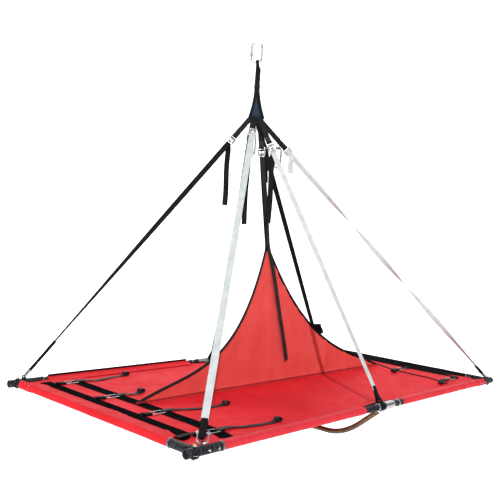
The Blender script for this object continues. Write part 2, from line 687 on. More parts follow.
def corner_fitting(corner, sx, sy, at, long_dir, end_dir):
    """Elbow with two arms, an end cap, an upright boss and an eyed lug."""
    long_grooves = ((0.0085, 0.0012, 0.0005), (0.0645, 0.0012, 0.0004))
    end_grooves = ((0.016, 0.0012, 0.0004),)
    cap_r = BORE_R - 0.0012
    cap = [(0.0, 0.0), (cap_r, 0.0), (BORE_R - 0.00036, 0.00036), (BORE_R, 0.0012),
           (BORE_R, 0.0033), (BORE_R - 0.00036, 0.00414), (cap_r, 0.0045),
           (BORE_R * 0.5, 0.0054), (0.0, 0.0057)]
    boss = [(0.0, -0.0200), (0.0085, -0.0200), (0.0095, -0.0190), (0.0100, -0.0150),
            (0.0100, 0.0150), (0.0095, 0.0182), (0.0085, 0.0190), (0.0, 0.0190)]
    pieces = [
        lathe("arm_long", sleeve_profile(FITTING_R, BORE_R, ARM + STUB, 0.0009, long_grooves),
              at - long_dir * STUB, long_dir, BLACK, closed=True, ride=False),
        lathe("arm_end", sleeve_profile(FITTING_R - 0.0003, BORE_R, ARM - 0.010, 0.0009,
                                        end_grooves),
              at + end_dir * 0.010, end_dir, BLACK, closed=True, ride=False),
        lathe("cap", cap, at - long_dir * (STUB - 0.004), -long_dir, BLACK, ride=False),
        lathe("boss", boss, at, UP, BLACK, ride=False)]
    eye, pin = shackle_frame(sx, sy)
    lean = pin.cross(UP)
    lug = [(-0.0100, -0.0110), (0.0100, -0.0110), (0.0085, 0.0030)]
    lug += [(0.0078 * math.cos(a), 0.0030 + 0.0062 * math.sin(a)) for a in angles(15, 15, 11)]
    lug.append((-0.0085, 0.0030))
    hole = [(0.0044 * math.cos(a), 0.0006 + 0.0044 * math.sin(a)) for a in angles(0, -30, 12)]
    pieces.append(plate("lug", [lug, hole], 0.0048, BLACK,
                        basis(lean, UP, lean.cross(UP), eye), bevel=0.0006, ride=False))
    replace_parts(join(f"corner_{corner}", pieces), f"corner_fitting_{corner}")


def arm_collar(name, r, start, direction):
    """Metal ring at an arm's inner end."""
    inner = TUBE_R + 0.0008
    profile = [(inner, 0.0), (r + 0.0004, 0.0), (r + 0.0013, 0.0006), (r + 0.0016, 0.0016),
               (r + 0.0016, 0.0044), (r + 0.0013, 0.0054), (r + 0.0004, 0.0060),
               (inner, 0.0060)]
    lathe(name, profile, start, direction, COLLAR, closed=True)


def elbow_bolt(corner, at):
    """Washer, hexagonal head and dome on top; nut and thread end underneath."""
    washer = [(0.0, 0.0), (0.0078, 0.0), (0.0082, 0.0004), (0.0082, 0.0010),
              (0.0078, 0.0014), (0.0, 0.0014)]
    dome = [(0.0, 0.0), (0.0038, 0.0), (0.0034, 0.0006), (0.0018, 0.0011), (0.0, 0.0013)]
    thread = [(0.0, 0.0), (0.0030, 0.0), (0.0026, 0.0007), (0.0030, 0.0014),
              (0.0026, 0.0021), (0.0028, 0.0030), (0.0, 0.0034)]
    join(f"elbow_bolt_{corner}", [
        lathe("washer", washer, at + UP * 0.0188, UP, STEEL, ride=False),
        lathe("head", hex_profile(0.0064, 0.0046), at + UP * 0.0200, UP, BRASS, sides=6,
              ride=False, first_side=X + Y * 0.3),
        lathe("dome", dome, at + UP * 0.0245, UP, BRASS, ride=False),
        lathe("nut", hex_profile(0.0060, 0.0040), at - UP * 0.0198, -UP, STEEL, sides=6,
              ride=False, first_side=X),
        lathe("thread", thread, at - UP * 0.0236, -UP, STEEL, ride=False)])


def lock_plate(corner, sy, centre):
    """Rounded plate on the arm's outer side with a bent pin on it."""
    plate(f"lock_plate_{corner}", [rounded(0.034, 0.024, 0.005)], 0.0022, BLACK,
          basis(X, UP, X.cross(UP), centre), bevel=0.0006)
    pin = ((-0.010, 0.001, 0.0), (-0.010, 0.0035, 0.001), (0.006, 0.0040, -0.003),
           (0.011, 0.0012, -0.006))             # x, outwards, z
    pipe(f"lock_pin_{corner}", [centre + X * x + Y * (sy * out) + UP * z for x, out, z in pin],
         0.0011, STEEL, sides=8, step=0.001)


for corner, (sx, sy) in CORNERS.items():
    at = corner_point(sx, sy)
    long_dir, end_dir = Vector((-sx, 0, 0)), Vector((0, -sy, 0))
    corner_fitting(corner, sx, sy, at, long_dir, end_dir)
    for tag, inwards, r in (("long", long_dir, FITTING_R), ("end", end_dir, FITTING_R - 0.0003)):
        arm_collar(f"collar_{tag}_{corner}", r, at + inwards * (ARM - 0.0085), inwards)
    elbow_bolt(corner, at)
    for number, distance in ((1, 0.052), (2, 0.094)):
        out = Vector((0, sy, 0))
        profile = [(0.0, 0.0), (0.0044, 0.0), (0.0044, 0.0012), (0.0034, 0.0024),
                   (0.0018, 0.0030), (0.0015, 0.0022), (0.0, 0.0022)]
        lathe(f"arm_screw_{corner}_{number}", profile,
              at + long_dir * distance + out * (FITTING_R - 0.0006), out, STEEL, sides=20)
    if corner in ("front_left", "rear_right"):
        lock_plate(corner, sy,
                   at - long_dir * 0.012 + Vector((0, sy * (FITTING_R + 0.0006), -0.004)))


# Couplings in the long rails' middles, their rings, and the spreader's sockets
def spreader_line(y):
    """The spreader's plan place at y, with z = 0."""
    middle = REAR_SHIFT / 2
    return Vector((middle + (middle - TEE_AT) * y / HALF_WIDTH, y, 0.0))


def rail_middle(side, sy):
    """Coupling sleeve with two rings, and the tee that holds the spreader's end."""
    flip = -sy
    shift = REAR_SHIFT if sy > 0 else 0.0
    start = Vector((flip * COUPLING_SPAN[0] + shift, sy * HALF_WIDTH, RAIL_Z))
    along = Vector((flip, 0, 0))
    length = COUPLING_SPAN[1] - COUPLING_SPAN[0]
    grooves = [(place, 0.0010, 0.0003) for place in (0.010, 0.122, length - 0.006)]
    sleeve = lathe(f"coupling_{side}", sleeve_profile(COUPLING_R, BORE_R, length, 0.0007,
                                                      grooves),
                   start, along, BLACK, closed=True)
    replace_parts(sleeve, f"mid_coupling_{side}")
    ring = [(COUPLING_R + rise, place) for rise, place in (
        (0.0001, -0.0036), (0.0014, -0.0036), (0.0020, -0.0028), (0.0022, 0.0),
        (0.0020, 0.0028), (0.0014, 0.0036), (0.0001, 0.0036))]
    for number, place in enumerate(COUPLING_RINGS, 1):
        lathe(f"coupling_ring_{side}_{number}", ring,
              start + along * (place - COUPLING_SPAN[0]), along, STEEL, closed=True)
    foot = spreader_line(sy * HALF_WIDTH)
    centre = foot + UP * RAIL_Z
    down = spreader_line(sy * HALF_WIDTH + flip) - foot
    down = Vector((down.x, down.y, -SPREADER_SLOPE)).normalized()
    grooves = [(place, 0.001, 0.0004) for place in (0.008, TEE_LENGTH - 0.008)]
    tee = [lathe("sleeve", sleeve_profile(TEE_R, COUPLING_R + 0.0004, TEE_LENGTH, 0.0010,
                                          grooves),
                 centre - X * TEE_LENGTH / 2, X, STEEL, closed=True, ride=False),
           lathe("branch", sleeve_profile(0.0140, SPREADER_R + 0.0004, 0.0385, 0.0009,
                                          ((0.030, 0.001, 0.0004),)),
                 centre + down * 0.0140, down, STEEL, closed=True, ride=False)]
    lathe(f"socket_screw_{side}",
          [(0.0, 0.0), (0.0042, 0.0), (0.0042, 0.0012), (0.0030, 0.0022), (0.0, 0.0024)],
          centre + down * 0.041 + X * 0.0136, X, COLLAR, sides=16)
    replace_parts(join(f"socket_{side}", tee), f"spreader_socket_{side}")


def spreader():
    """Tube down from both rails to a level middle, with a button on each slope."""
    bend_start = SPREADER_KNEE + SPREADER_BEND
    run = HALF_WIDTH - SPREADER_KNEE - SPREADER_BEND
    half = [(HALF_WIDTH - 0.0200, -0.0200 * SPREADER_SLOPE), (bend_start, -run * SPREADER_SLOPE)]
    for i in range(1, 17):
        u = i / 16
        fall = run + 2 * SPREADER_BEND * u - SPREADER_BEND * u * u
        half.append((bend_start - 2 * SPREADER_BEND * u, -fall * SPREADER_SLOPE))
    line = [(-y, z) for y, z in half] + half[::-1]
    tube = pipe("spreader_tube", [spreader_line(y) + UP * (RAIL_Z + z) for y, z in line],
                SPREADER_R, BRONZE, sides=28, smooth=False)
    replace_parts(tube, "spreader_bar")
    for side, sy in SIDES:
        y = sy * (bend_start + 0.035)
        at = spreader_line(y) + UP * (RAIL_Z - (HALF_WIDTH - abs(y)) * SPREADER_SLOPE)
        lathe(f"spreader_button_{side}",
              [(0.0, 0.0), (0.0030, 0.0), (0.0030, 0.0010), (0.0022, 0.0020), (0.0, 0.0024)],
              at + X * (SPREADER_R - 0.0006), X, STEEL, sides=16)


for side, sy in SIDES:
    rail_middle(side, sy)
spreader()


# ---------------------------------------------------------------- legs
class Leg:
    """A leg's line from the sling to its foot, and its buckle's place on it."""

    def __init__(self, name, foot, reach, tail=0.0, sleeve_top=0.0):
        self.name, self.foot = name, foot
        self.tail_z, self.sleeve_top = RAIL_Z + tail, sleeve_top
        flat = Vector((foot.x - HANG.x, foot.y - HANG.y, 0.0)).normalized()
        self.top = Vector((HANG.x, HANG.y, FAN_BOTTOM)) + flat * 0.022
        self.dir = (foot - self.top).normalized()
        self.buckle = self.top + self.dir * reach
        face = SLING_Y * (1.0 if flat.dot(SLING_Y) > 0.03 else -1.0)
        self.normal = (face - self.dir * face.dot(self.dir)).normalized()
        self.across = self.dir.cross(self.normal)

    def local(self, down, out):
        return self.buckle + self.dir * down + self.normal * out

    def bar_turn(self, bar, side, first, step):
        """Half a turn round a buckle bar, on its lower (1) or upper (-1) side."""
        return [self.local(bar + side * BAR_LOOP_R * math.cos(a), BAR_LOOP_R * math.sin(a))
                for a in angles(first, step, 13)]

    def sling_side(self):
        """The sling's wide direction, signed to agree with the leg's own."""
        return SLING_X if self.across.dot(SLING_X) > 0 else -SLING_X


# name, buckle's distance down the leg, tail end's height over the rails, sleeve's top
LEGS = [Leg(name, pin_point(*CORNERS[name])[0], *sizes) for name, *sizes in (
    ("front_left", 0.095, 1.045, 0.050), ("rear_left", 0.139, 0.823, 0.161),
    ("rear_right", 0.185, 0.955, 0.060), ("front_right", 0.205, 1.000, 0.046))]
LEGS.append(Leg("front_mid", Vector((MID_LOOP, -HALF_WIDTH, RAIL_Z)), 0.150, 0.751, 0.090))
LEGS.append(Leg("rear_mid", Vector((REAR_SHIFT - MID_LOOP, HALF_WIDTH, RAIL_Z)),
                0.085, 0.741, 0.085))
DIVIDER_LEG = Leg("divider", DIVIDER_APEX, 0.155)
PALE = {"front_left", "front_right", "front_mid"}
FULL_TWISTS = {"front_right": 2.0 * math.pi}
LOOSE_LEAN = {"rear_mid": 1.15}                 # extra twist on the way down, radians
ASIDE = Vector((0.688, -0.726, 0.0))            # loose pieces are turned by this direction


def end_loop(centre, up, across, r, rise):
    """Down one side, round a bar of radius r and up the other side."""
    gap = WEB_T / 2 + GAP
    reach = 180.0 - math.degrees(math.acos(r / rise))
    count = max(4, round(2 * reach / 12.0))
    points = [centre + up * rise + across * gap]
    for i in range(count + 1):
        a = math.radians(reach - 2 * reach * i / count)
        points.append(centre + across * (r * math.sin(a)) - up * (r * math.cos(a)))
    points.append(centre + up * rise - across * gap)
    return points


def distance_to_line(point, start, end):
    part = (point - start).dot(end - start) / (end - start).length_squared
    return (point - start.lerp(end, max(0.0, min(1.0, part)))).length


def foot_place(leg):
    """Where the leg's end loop turns: its centre, axis, radius and height."""
    if leg.name in CORNERS:
        centre, _, pin = pin_point(*CORNERS[leg.name])
        if leg.name == "front_left":            # this loop lies to one side of its pin
            centre = centre + pin * (-0.0030 if pin.dot(ASIDE) > 0 else 0.0030)
        return centre, pin, PIN_LOOP_R, 0.020
    centre = leg.foot.copy()
    if leg.name == "rear_mid":
        centre.x += 0.008
    return centre, X, COUPLING_R + WEB_T / 2 + 0.0006, 0.062


def leg_strap(leg):
    """Tail, main strap, end loop on the pin or rail, sewn sleeve, and the tail's hem."""
    corner = leg.name in CORNERS
    centre, pin, r, rise = foot_place(leg)
    mat = WHITE_WEB if leg.name in PALE else BLACK_WEB
    # the free tail, from its end up to the buckle
    out = leg.local(0.026, -BAR_LOOP_R)
    bottom = out - UP * (out.z - leg.tail_z) - leg.normal * 0.004
    flat = leg.sling_side()
    sway = leg.normal * -0.0030
    points = [out.lerp(bottom, u) + sway * math.sin(u * 5.0) +
              flat * (0.0018 * math.sin(u * 7.0 + leg.foot.x))
              for u in (1.0, 0.8, 0.6, 0.4, 0.25, 0.1)]
    points += [out, leg.local(0.012, -BAR_LOOP_R), *leg.bar_turn(-0.0045, -1, -90, 15)]
    start = leg.local(0.022, BAR_LOOP_R)
    points.append(start)
    widths = [flat] * 6 + [flat.lerp(leg.across, 0.5)] + [leg.across] * 15
    # the run down to the foot turns its width from the buckle's to the pin's direction
    up = start - centre
    up = (up - pin * up.dot(pin)).normalized()
    across = pin.cross(up).normalized()
    if across.dot(leg.normal) < 0:
        across = -across
    end = end_loop(centre, up, across, r, rise)
    run = (end[0] - start).normalized()
    total = (end[0] - start).length
    width_0 = (leg.across - run * leg.across.dot(run)).normalized()
    width_90 = run.cross(width_0)

    def turned(angle):
        return width_0 * math.cos(angle) + width_90 * math.sin(angle)

    def width_at(height):
        return turned(twist * ease(1 - (height - rise) / total))

    twist = math.atan2(pin.dot(width_90), pin.dot(width_0))
    if twist > math.pi / 2:
        twist -= math.pi
    if twist < -math.pi / 2:
        twist += math.pi
    twist += FULL_TWISTS.get(leg.name, 0.0)
    lean = LOOSE_LEAN.get(leg.name, 0.0)
    count = max(24 if lean else 10, int(abs(twist) / math.radians(8)) + 3)
    if lean and turned(twist / 2 + lean).dot(ASIDE) ** 2 > \
            turned(twist / 2 - lean).dot(ASIDE) ** 2:
        lean = -lean
    sizes = [WEB] * len(points)
    for i in range(1, count + 1):
        u = i / count * (1 - 0.012 / total)
        points.append(start.lerp(end[0], u))
        widths.append(turned(twist * ease(u) +
                             lean * math.sin(math.pi * min(1.0, u * 1.03)) ** 0.8))
        sizes.append(WEB * (1.09 if leg.name == "front_left" and 0.06 < u < 0.93 else 1.0))
    main = strap(f"strap_{leg.name}", points, widths, sizes, WEB_T, mat, step=0.004)
    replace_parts(main, f"leg_strap_{leg.name}")
    if leg.name == "front_mid":                 # this strap's free tail is dark
        main.data.materials.append(BLACK_WEB)
        inverse = main.matrix_world.inverted()
        tail_a, tail_b, run_a, run_b = (inverse @ p for p in (out, bottom, start, end[0]))
        for face in main.data.polygons:
            if distance_to_line(face.center, tail_a, tail_b) < \
                    distance_to_line(face.center, run_a, run_b):
                face.material_index = 1
        mat = BLACK_WEB
    pin_side = pin if turned(twist).dot(pin) > 0 else -pin
    loop = [end[0] + up * 0.030] + end + [end[-1] + up * 0.030]
    strap(f"foot_loop_{leg.name}", loop, [pin_side] * len(loop), WEB - 0.001, WEB_T, BLACK_WEB,
          step=0.0025)
    foot_sleeve(leg, corner, centre, up, pin_side, width_at,
                -0.022 if corner else rise - 0.004)
    if leg.name == "rear_right":                # a loose pad beside this strap
        side = (ASIDE - up * ASIDE.dot(up)).normalized()
        rows = [centre + up * (0.070 + 0.086 * i / 8) +
                side * (0.019 + 0.002 * math.sin(i * 0.9)) for i in range(9)]
        strap("strap_pad", rows, [side] * 9,
              [0.066, 0.070, 0.071, 0.071, 0.070, 0.070, 0.069, 0.068, 0.063], 0.0090,
              BLACK_CLOTH, step=0.004)
    # folded and tacked end of the free tail
    tip = points[0]
    normal = UP.cross(flat).normalized()
    strap(f"tail_hem_{leg.name}",
          [tip + UP * 0.0002 + normal * 0.0018, tip + UP * 0.030 + normal * 0.0022],
          [flat, flat], WEB - 0.001, 0.0016, mat, smooth=False)
    stitches(f"tail_stitch_{leg.name}",
             [([tip + UP * h + normal * 0.0029 - flat * 0.010,
                tip + UP * h + normal * 0.0031 + flat * 0.010], normal)
              for h in (0.006, 0.010, 0.024, 0.028)],
             DARK_THREAD if mat is BLACK_WEB else THREAD)


def foot_sleeve(leg, corner, centre, up, pin_side, width_at, low):
    """Cloth sleeve over the loop's ends, drawn in at its own ends, with box stitching."""
    broad, steps = 0.0265, 14
    span = leg.sleeve_top - low
    pulls = {0: 0.62, 1: 0.88, 2: 0.97, steps: 0.92} if corner else {0: 0.90, steps: 0.92}
    points, widths, sizes = [], [], []
    for i in range(steps + 1):
        height = low + span * i / steps
        points.append(centre + up * height)
        width = width_at(height)
        widths.append(width if width.dot(pin_side) > 0 else -width)
        sizes.append((0.0262 if corner and height < 0.008 else broad) * pulls.get(i, 1.0))
    strap(f"foot_sleeve_{leg.name}", points, widths, sizes, 0.0096 if corner else 0.0072,
          BLACK_CLOTH, step=0.004)
    lines = []
    for part in (0.25, 0.75):
        height = low + span * part
        width = width_at(height)
        normal = up.cross(width).normalized()
        for s in (-1, 1):
            lines += box_stitch(centre + up * height + normal * (s * (0.0049 if corner
                                                                      else 0.0037)),
                                up, width, normal * s, min(0.026, span * 0.40), 0.018)
    stitches(f"foot_stitch_{leg.name}", lines)


def shackle(corner, sx, sy):
    """A bow with forged ends and a headed pin."""
    eye, _ = shackle_frame(sx, sy)
    centre, up, pin = pin_point(sx, sy)
    half, height, rise = SHACKLE_W / 2, SHACKLE_H, 0.013
    shape = [(-half, height - 0.0015), (-half, height - 0.010), (-half, rise)]
    shape += [(half * math.cos(a), rise + rise * math.sin(a))
              for a in angles(191.25, 11.25, 15)]
    shape += [(half, rise), (half, height - 0.010), (half, height - 0.0015)]
    parts = [pipe("bow", [eye + pin * a + up * b for a, b in shape], SHACKLE_ROD, STEEL,
                  step=0.002, ride=False)]
    ear = [(0.0, -0.0028), (0.0048, -0.0028), (0.0054, -0.0020), (0.0054, 0.0020),
           (0.0048, 0.0028), (0.0, 0.0028)]
    for s in (-1, 1):
        parts.append(lathe("ear", ear, centre + pin * (s * half), pin, STEEL, sides=24,
                           ride=False))
    bolt = [(r, -half + d) for r, d in ((0.0, -0.0065), (0.0028, -0.0065), (0.0036, -0.0058),
                                        (0.0036, -0.0030), (0.0030, -0.0028))]
    bolt += [(r, half + d) for r, d in ((0.0030, 0.0030), (0.0044, 0.0030), (0.0048, 0.0038),
                                        (0.0048, 0.0056), (0.0040, 0.0064), (0.0, 0.0066))]
    parts.append(lathe("pin", bolt, centre, pin, STEEL, sides=20, ride=False))
    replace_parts(join(f"bow_shackle_{corner}", parts), f"shackle_{corner}")


for leg in LEGS:
    leg_strap(leg)
for corner, (sx, sy) in CORNERS.items():
    shackle(corner, sx, sy)


# ---------------------------------------------------------------- buckles
def shifted(loop, dx):
    return [(x + dx, y) for x, y in loop]


def buckle_frame(leg, place, axis):
    """Base plate with two windows between two riveted cheeks."""
    loops = [shifted(rounded(0.038, 0.036, 0.0055, 5), -0.001),
             shifted(rounded(0.0095, 0.027, 0.0015, 3), -0.01125),
             shifted(rounded(0.0140, 0.027, 0.0015, 3), 0.0045)]
    cheek = [(-0.0045, -0.0010), (0.0115, -0.0010), (0.0100, 0.0085), (0.0080, 0.0125),
             (0.0045, 0.0143), (0.0010, 0.0143), (-0.0020, 0.0115), (-0.0040, 0.0070)]
    rivet = [(0.0, 0.0), (0.0032, 0.0), (0.0030, 0.0008), (0.0016, 0.0014), (0.0, 0.0016)]
    parts = [plate("base", loops, 0.0030, BUCKLE, place, bevel=0.0007, ride=False)]
    for s in (-1, 1):
        upright = Matrix(((1, 0, 0, 0), (0, 0, -1, s * 0.0165), (0, 1, 0, 0), (0, 0, 0, 1)))
        parts.append(plate("cheek", [cheek], 0.0024, BUCKLE, place @ upright, bevel=0.0005,
                           ride=False))
        parts.append(lathe("rivet", rivet, place @ Vector((0.0035, s * 0.0175, 0.0112)),
                           axis * s, STEEL, sides=16, ride=False))
    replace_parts(join(f"buckle_{leg.name}", parts), f"buckle_frame_{leg.name}")


def buckle_lever(leg, pivot, axis):
    """Grooved roller on a pin, with a windowed thumb plate and its lip."""
    at = pivot.translation
    roller = [(0.0, -0.0148), (0.0046, -0.0148), (0.0051, -0.0143)]
    for d in spread(-0.0135, 0.0135, 11):
        roller += [(0.0051, d - 0.0006), (0.0047, d), (0.0051, d + 0.0006)]
    roller += [(0.0051, 0.0143), (0.0046, 0.0148), (0.0, 0.0148)]
    pin = [(0.0, -0.0180), (0.0020, -0.0180), (0.0020, 0.0180), (0.0, 0.0180)]
    thumb = [shifted(rounded(0.022, 0.027, 0.0035), 0.0125),
             shifted(rounded(0.0065, 0.012, 0.0028), 0.0155)]
    lip = pivot @ Vector((0.0228, 0, 0.0034))
    parts = [lathe("roller", roller, at, axis, BUCKLE, sides=24, ride=False),
             lathe("pin", pin, at, axis, STEEL, sides=16, ride=False),
             plate("thumb", thumb, 0.0024, BUCKLE, pivot @ Matrix.Translation((0, 0, 0.0030)),
                   bevel=0.0006, ride=False),
             pipe("lip", [lip - axis * 0.0108, lip + axis * 0.0108], 0.0014, BUCKLE, sides=12,
                  smooth=False, ride=False)]
    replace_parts(join(f"lever_{leg.name}", parts, f"cam_lever_{leg.name}"),
                f"cam_lever_{leg.name}")


for leg in LEGS + [DIVIDER_LEG]:
    place = basis(leg.dir, -leg.across, leg.normal, leg.buckle)
    buckle_frame(leg, place, -leg.across)
    pivot = place.copy()
    pivot.translation = leg.local(0.0035, 0.0112)
    buckle_lever(leg, pivot, -leg.across)


# ---------------------------------------------------------------- sling
FAN_STEPS, FAN_SIDES = 24, 28


def at_fan(wide, deep, z):
    return Vector((HANG.x, HANG.y, 0.0)) + SLING_X * wide + SLING_Y * deep + UP * z


def fan_section(i):
    """Height, middle, half width and half depth of the fan at a step up it."""
    u = i / FAN_STEPS
    flare = max(0.0, (0.62 - u) / 0.62)
    return (FAN_BOTTOM + (FAN_TOP - FAN_BOTTOM) * u, 0.006 * flare,
            0.0122 + 0.027 * flare ** 1.7, 0.0112 + 0.004 * flare)


def sling_core():
    """The blue fan: rounded box sections that widen downwards, dented in their faces."""
    ends = {0: (0.97, 0.75), FAN_STEPS: (0.8, 0.7)}
    rows, heights = [], []
    for i in range(FAN_STEPS + 1):
        z, middle, half, deep = fan_section(i)
        narrow, thin = ends.get(i, (1.0, 1.0))
        half, deep = (half - 0.0012) * narrow, (deep - 0.0028) * thin
        row = []
        for j in range(FAN_SIDES):
            a = 2 * math.pi * j / FAN_SIDES
            c, s = math.cos(a), math.sin(a)
            dent = 1 - 0.10 * max(0.0, 1 - abs(c) * 1.6) * (1 - i / FAN_STEPS)
            row.append(at_fan(middle + half * math.copysign(abs(c) ** 0.30, c),
                              deep * math.copysign(abs(s) ** 0.30, s) * dent, z))
        rows.append(row)
        heights.append(z)
    return sweep("sling_core", rows, [j / FAN_SIDES * 0.16 for j in range(FAN_SIDES + 1)],
                 heights, BLUE)


def sling_face(side, s):
    """Edge webbings of one face of the fan, and its stitching."""
    sections = [fan_section(i) for i in range(FAN_STEPS + 1)]
    # tag, side of the fan, inset, lift and width of the webbing
    for tag, e, inset, lift, width in (("left", -1, 0.0060, 0.0, 0.0125),
                                       ("right", 1, 0.0082, 0.0009, 0.0165)):
        points = [at_fan(middle + e * max(0.0, half - inset), s * (deep - 0.0010 + lift), z)
                  for z, middle, half, deep in sections]
        strap(f"sling_edge_{side}_{tag}", points, [SLING_X] * len(points), width, 0.0018,
              BLACK_WEB, smooth=False)
    lines = []
    for e in (-1, 1):
        for inset in (0.0025, 0.0100):
            lines.append(([at_fan(middle + e * max(0.0, half - inset), s * (deep + 0.0011), z)
                           for z, middle, half, deep in sections[:15]], SLING_Y * s))
    for height in (0.128, 0.168, 0.205):
        lines += box_stitch(at_fan(0, s * 0.0122, FAN_BOTTOM + height), UP, SLING_X,
                            SLING_Y * s, 0.026, 0.017)
    stitches(f"sling_stitch_{side}", lines)


def sling_keeper():
    """Band round the fan's throat."""
    ring = [at_fan(wide + 0.0022 * math.cos(a), deep + 0.0022 * math.sin(a),
                   FAN_BOTTOM + 0.150)
            for wide, deep, first in ((0.0112, 0.0118, 0), (-0.0112, 0.0118, 90),
                                      (-0.0112, -0.0118, 180), (0.0112, -0.0118, 270))
            for a in angles(first, 22.5, 5)]
    strap("sling_keeper", ring, [UP] * len(ring), 0.016, 0.0014, BROWN_WEB, closed=True,
          smooth=False)


def carabiner_loop():
    """Loop over the carabiner's lower bar, and the two wraps that hold its ends."""
    r, middle = CARABINER_R + 0.0034 + WEB_T / 2, -0.006
    rising = ((0.3, 0.0065, -0.016), (0.6, 0.0078, 0.010))     # shift, depth, above fan top
    points = [at_fan(middle * k, -deep, FAN_TOP + z) for k, deep, z in rising]
    points += [at_fan(middle, r * math.sin(a), ROD_BOTTOM + 0.0006 + r * math.cos(a))
               for a in angles(-90, 15, 13)]
    points += [at_fan(middle * k, deep, FAN_TOP + z) for k, deep, z in rising[::-1]]
    strap("carabiner_loop_inner", points, [SLING_X] * len(points), 0.0150, WEB_T, BLACK_WEB,
          step=0.002, curl=-0.0006)
    wrap = ((0, 0.0128, -0.034), (-0.0005, 0.0124, -0.008), (-0.0020, 0.0106, 0.004),
            (-0.0040, 0.0100, 0.0125))          # across, depth, above the fan's top
    for tag, s in (("", -1), ("_rear", 1)):
        strap("carabiner_loop_wrap" + tag,
              [at_fan(wide, s * deep, FAN_TOP + z) for wide, deep, z in wrap],
              [SLING_X] * 4, [0.0212, 0.0200, 0.0186, 0.0172], 0.0018, BLACK_WEB, step=0.004)


def short_leg(leg):
    """Strap from inside the fan over the buckle's upper bar and back, sewn together."""
    side_x = 1 if leg.dir.dot(SLING_X) > 0 else -1
    side_y = 1 if leg.dir.dot(SLING_Y) > 0 else -1
    points = [at_fan(0.004 * side_x, 0.003 * side_y, FAN_BOTTOM + 0.014),
              leg.top + leg.normal * BAR_LOOP_R * 0.4, leg.local(-0.020, BAR_LOOP_R),
              *leg.bar_turn(-0.018, 1, 90, -15), leg.local(-0.050, -BAR_LOOP_R * 0.62)]
    widths = [leg.sling_side()] + [leg.across] * (len(points) - 1)
    strap(f"short_leg_{leg.name}", points, widths, WEB - 0.0005, WEB_T, BROWN_WEB)
    skin = WEB_T / 2 + 0.0001
    lines = box_stitch(leg.local(-0.038, BAR_LOOP_R + skin), leg.dir, leg.across, leg.normal,
                       0.018, 0.018)
    lines += box_stitch(leg.local(-0.038, -BAR_LOOP_R * 0.8 - skin), leg.dir, leg.across,
                        -leg.normal, 0.016, 0.018)
    stitches(f"short_stitch_{leg.name}", lines,
             THREAD if leg.name in ("front_mid", "divider") else DARK_THREAD)


core = sling_core()
for side, s in SIDES:
    sling_face(side, s)
sling_keeper()
carabiner_loop()
for leg in LEGS + [DIVIDER_LEG]:
    short_leg(leg)
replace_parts(core, "main_sling")


# ---------------------------------------------------------------- carabiners
def hook_points(half_w, height, corner, gate_top, gate_low):
    """The hook's outline from the gate's top, over the top and back under to its foot."""
    left, right, top = -half_w + corner, half_w - corner, height - corner
    points = [(-half_w, gate_top)]
    points += [(cx + corner * math.cos(a), cz + corner * math.sin(a))
               for cx, cz, first in ((left, top, 180), (right, top, 90), (right, corner, 0),
                                     (left, corner, -90))
               for a in angles(first, -7.5, 13)]
    return points + [(-half_w, gate_low)]


def carabiner(name, origin, wide, half_w, height, corner, r, gate_top, gate_low, gate_r, body,
              gate_body):
    """Hook and gate standing on origin; returns the middle of the hook's nose."""
    deep = UP.cross(wide)

    def put(x, z):
        return origin + wide * x + UP * z

    outline = hook_points(half_w, height, corner, gate_top, gate_low)
    radii = [r * (0.93 if x > half_w * 0.7 else 0.96 if i <= 2 else 1.0)
             for i, (x, z) in enumerate(outline)]
    parts = [pipe("hook", [put(x, z) for x, z in outline], radii, STEEL, sides=24, step=0.002,
                  squeeze=(deep, 0.93), ride=False)]
    nose = put(-half_w, gate_low)
    profile = [(0.0, -0.0045), (r * 0.90, -0.0040), (r * 0.985, -0.0022), (r * 0.985, 0.0002),
               (r * 0.86, 0.0014), (0.0, 0.0016)]
    parts.append(lathe("nose", profile, nose, UP, STEEL, sides=24, ride=False))
    hinge = put(-half_w, gate_top - 0.0045)
    profile = [(0.0, 0.0), (r * 0.98, 0.0), (r * 1.06, 0.0014), (r * 1.06, 0.0052),
               (r * 0.98, 0.0068), (0.0, 0.0068)]
    parts.append(lathe("hinge_neck", profile, hinge + UP * 0.0042, UP, STEEL, sides=24,
                       ride=False))
    ear = rounded(gate_r * 1.7, 0.0130, gate_r * 0.8, 6)
    rivet = [(0.0, 0.0), (0.0020, 0.0), (0.0019, 0.0005), (0.0010, 0.0009), (0.0, 0.0010)]
    for s in (-1, 1):
        ear_at = hinge + deep * (s * (gate_r + 0.0006)) + UP * 0.0020
        parts.append(plate("ear", [ear], 0.0011, STEEL,
                           basis(wide, UP, wide.cross(UP), ear_at), bevel=0.0003, ride=False))
        parts.append(lathe("rivet", rivet, hinge + deep * (s * (gate_r + 0.0010)), deep * s,
                           STEEL, sides=16, ride=False))
    hook = join(f"{name}_hook", parts, body)
    low, high = gate_low + 0.0021, gate_top + 0.0020 - 0.0045
    span = high - low
    profile = [(0.0, low), (gate_r * 0.80, low), (gate_r, low + 0.0010),
               (gate_r, low + span * 0.30), (gate_r * 0.90, low + span * 0.33),
               (gate_r * 0.90, low + span * 0.66), (gate_r, low + span * 0.69),
               (gate_r, high - 0.0012), (gate_r * 0.85, high), (0.0, high)]
    gate = lathe(f"{name}_gate_bar", profile, put(-half_w, 0.0), UP, STEEL, gate_body, sides=24)
    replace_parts(hook, f"{name}_body")
    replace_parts(gate, f"{name}_gate")
    return nose


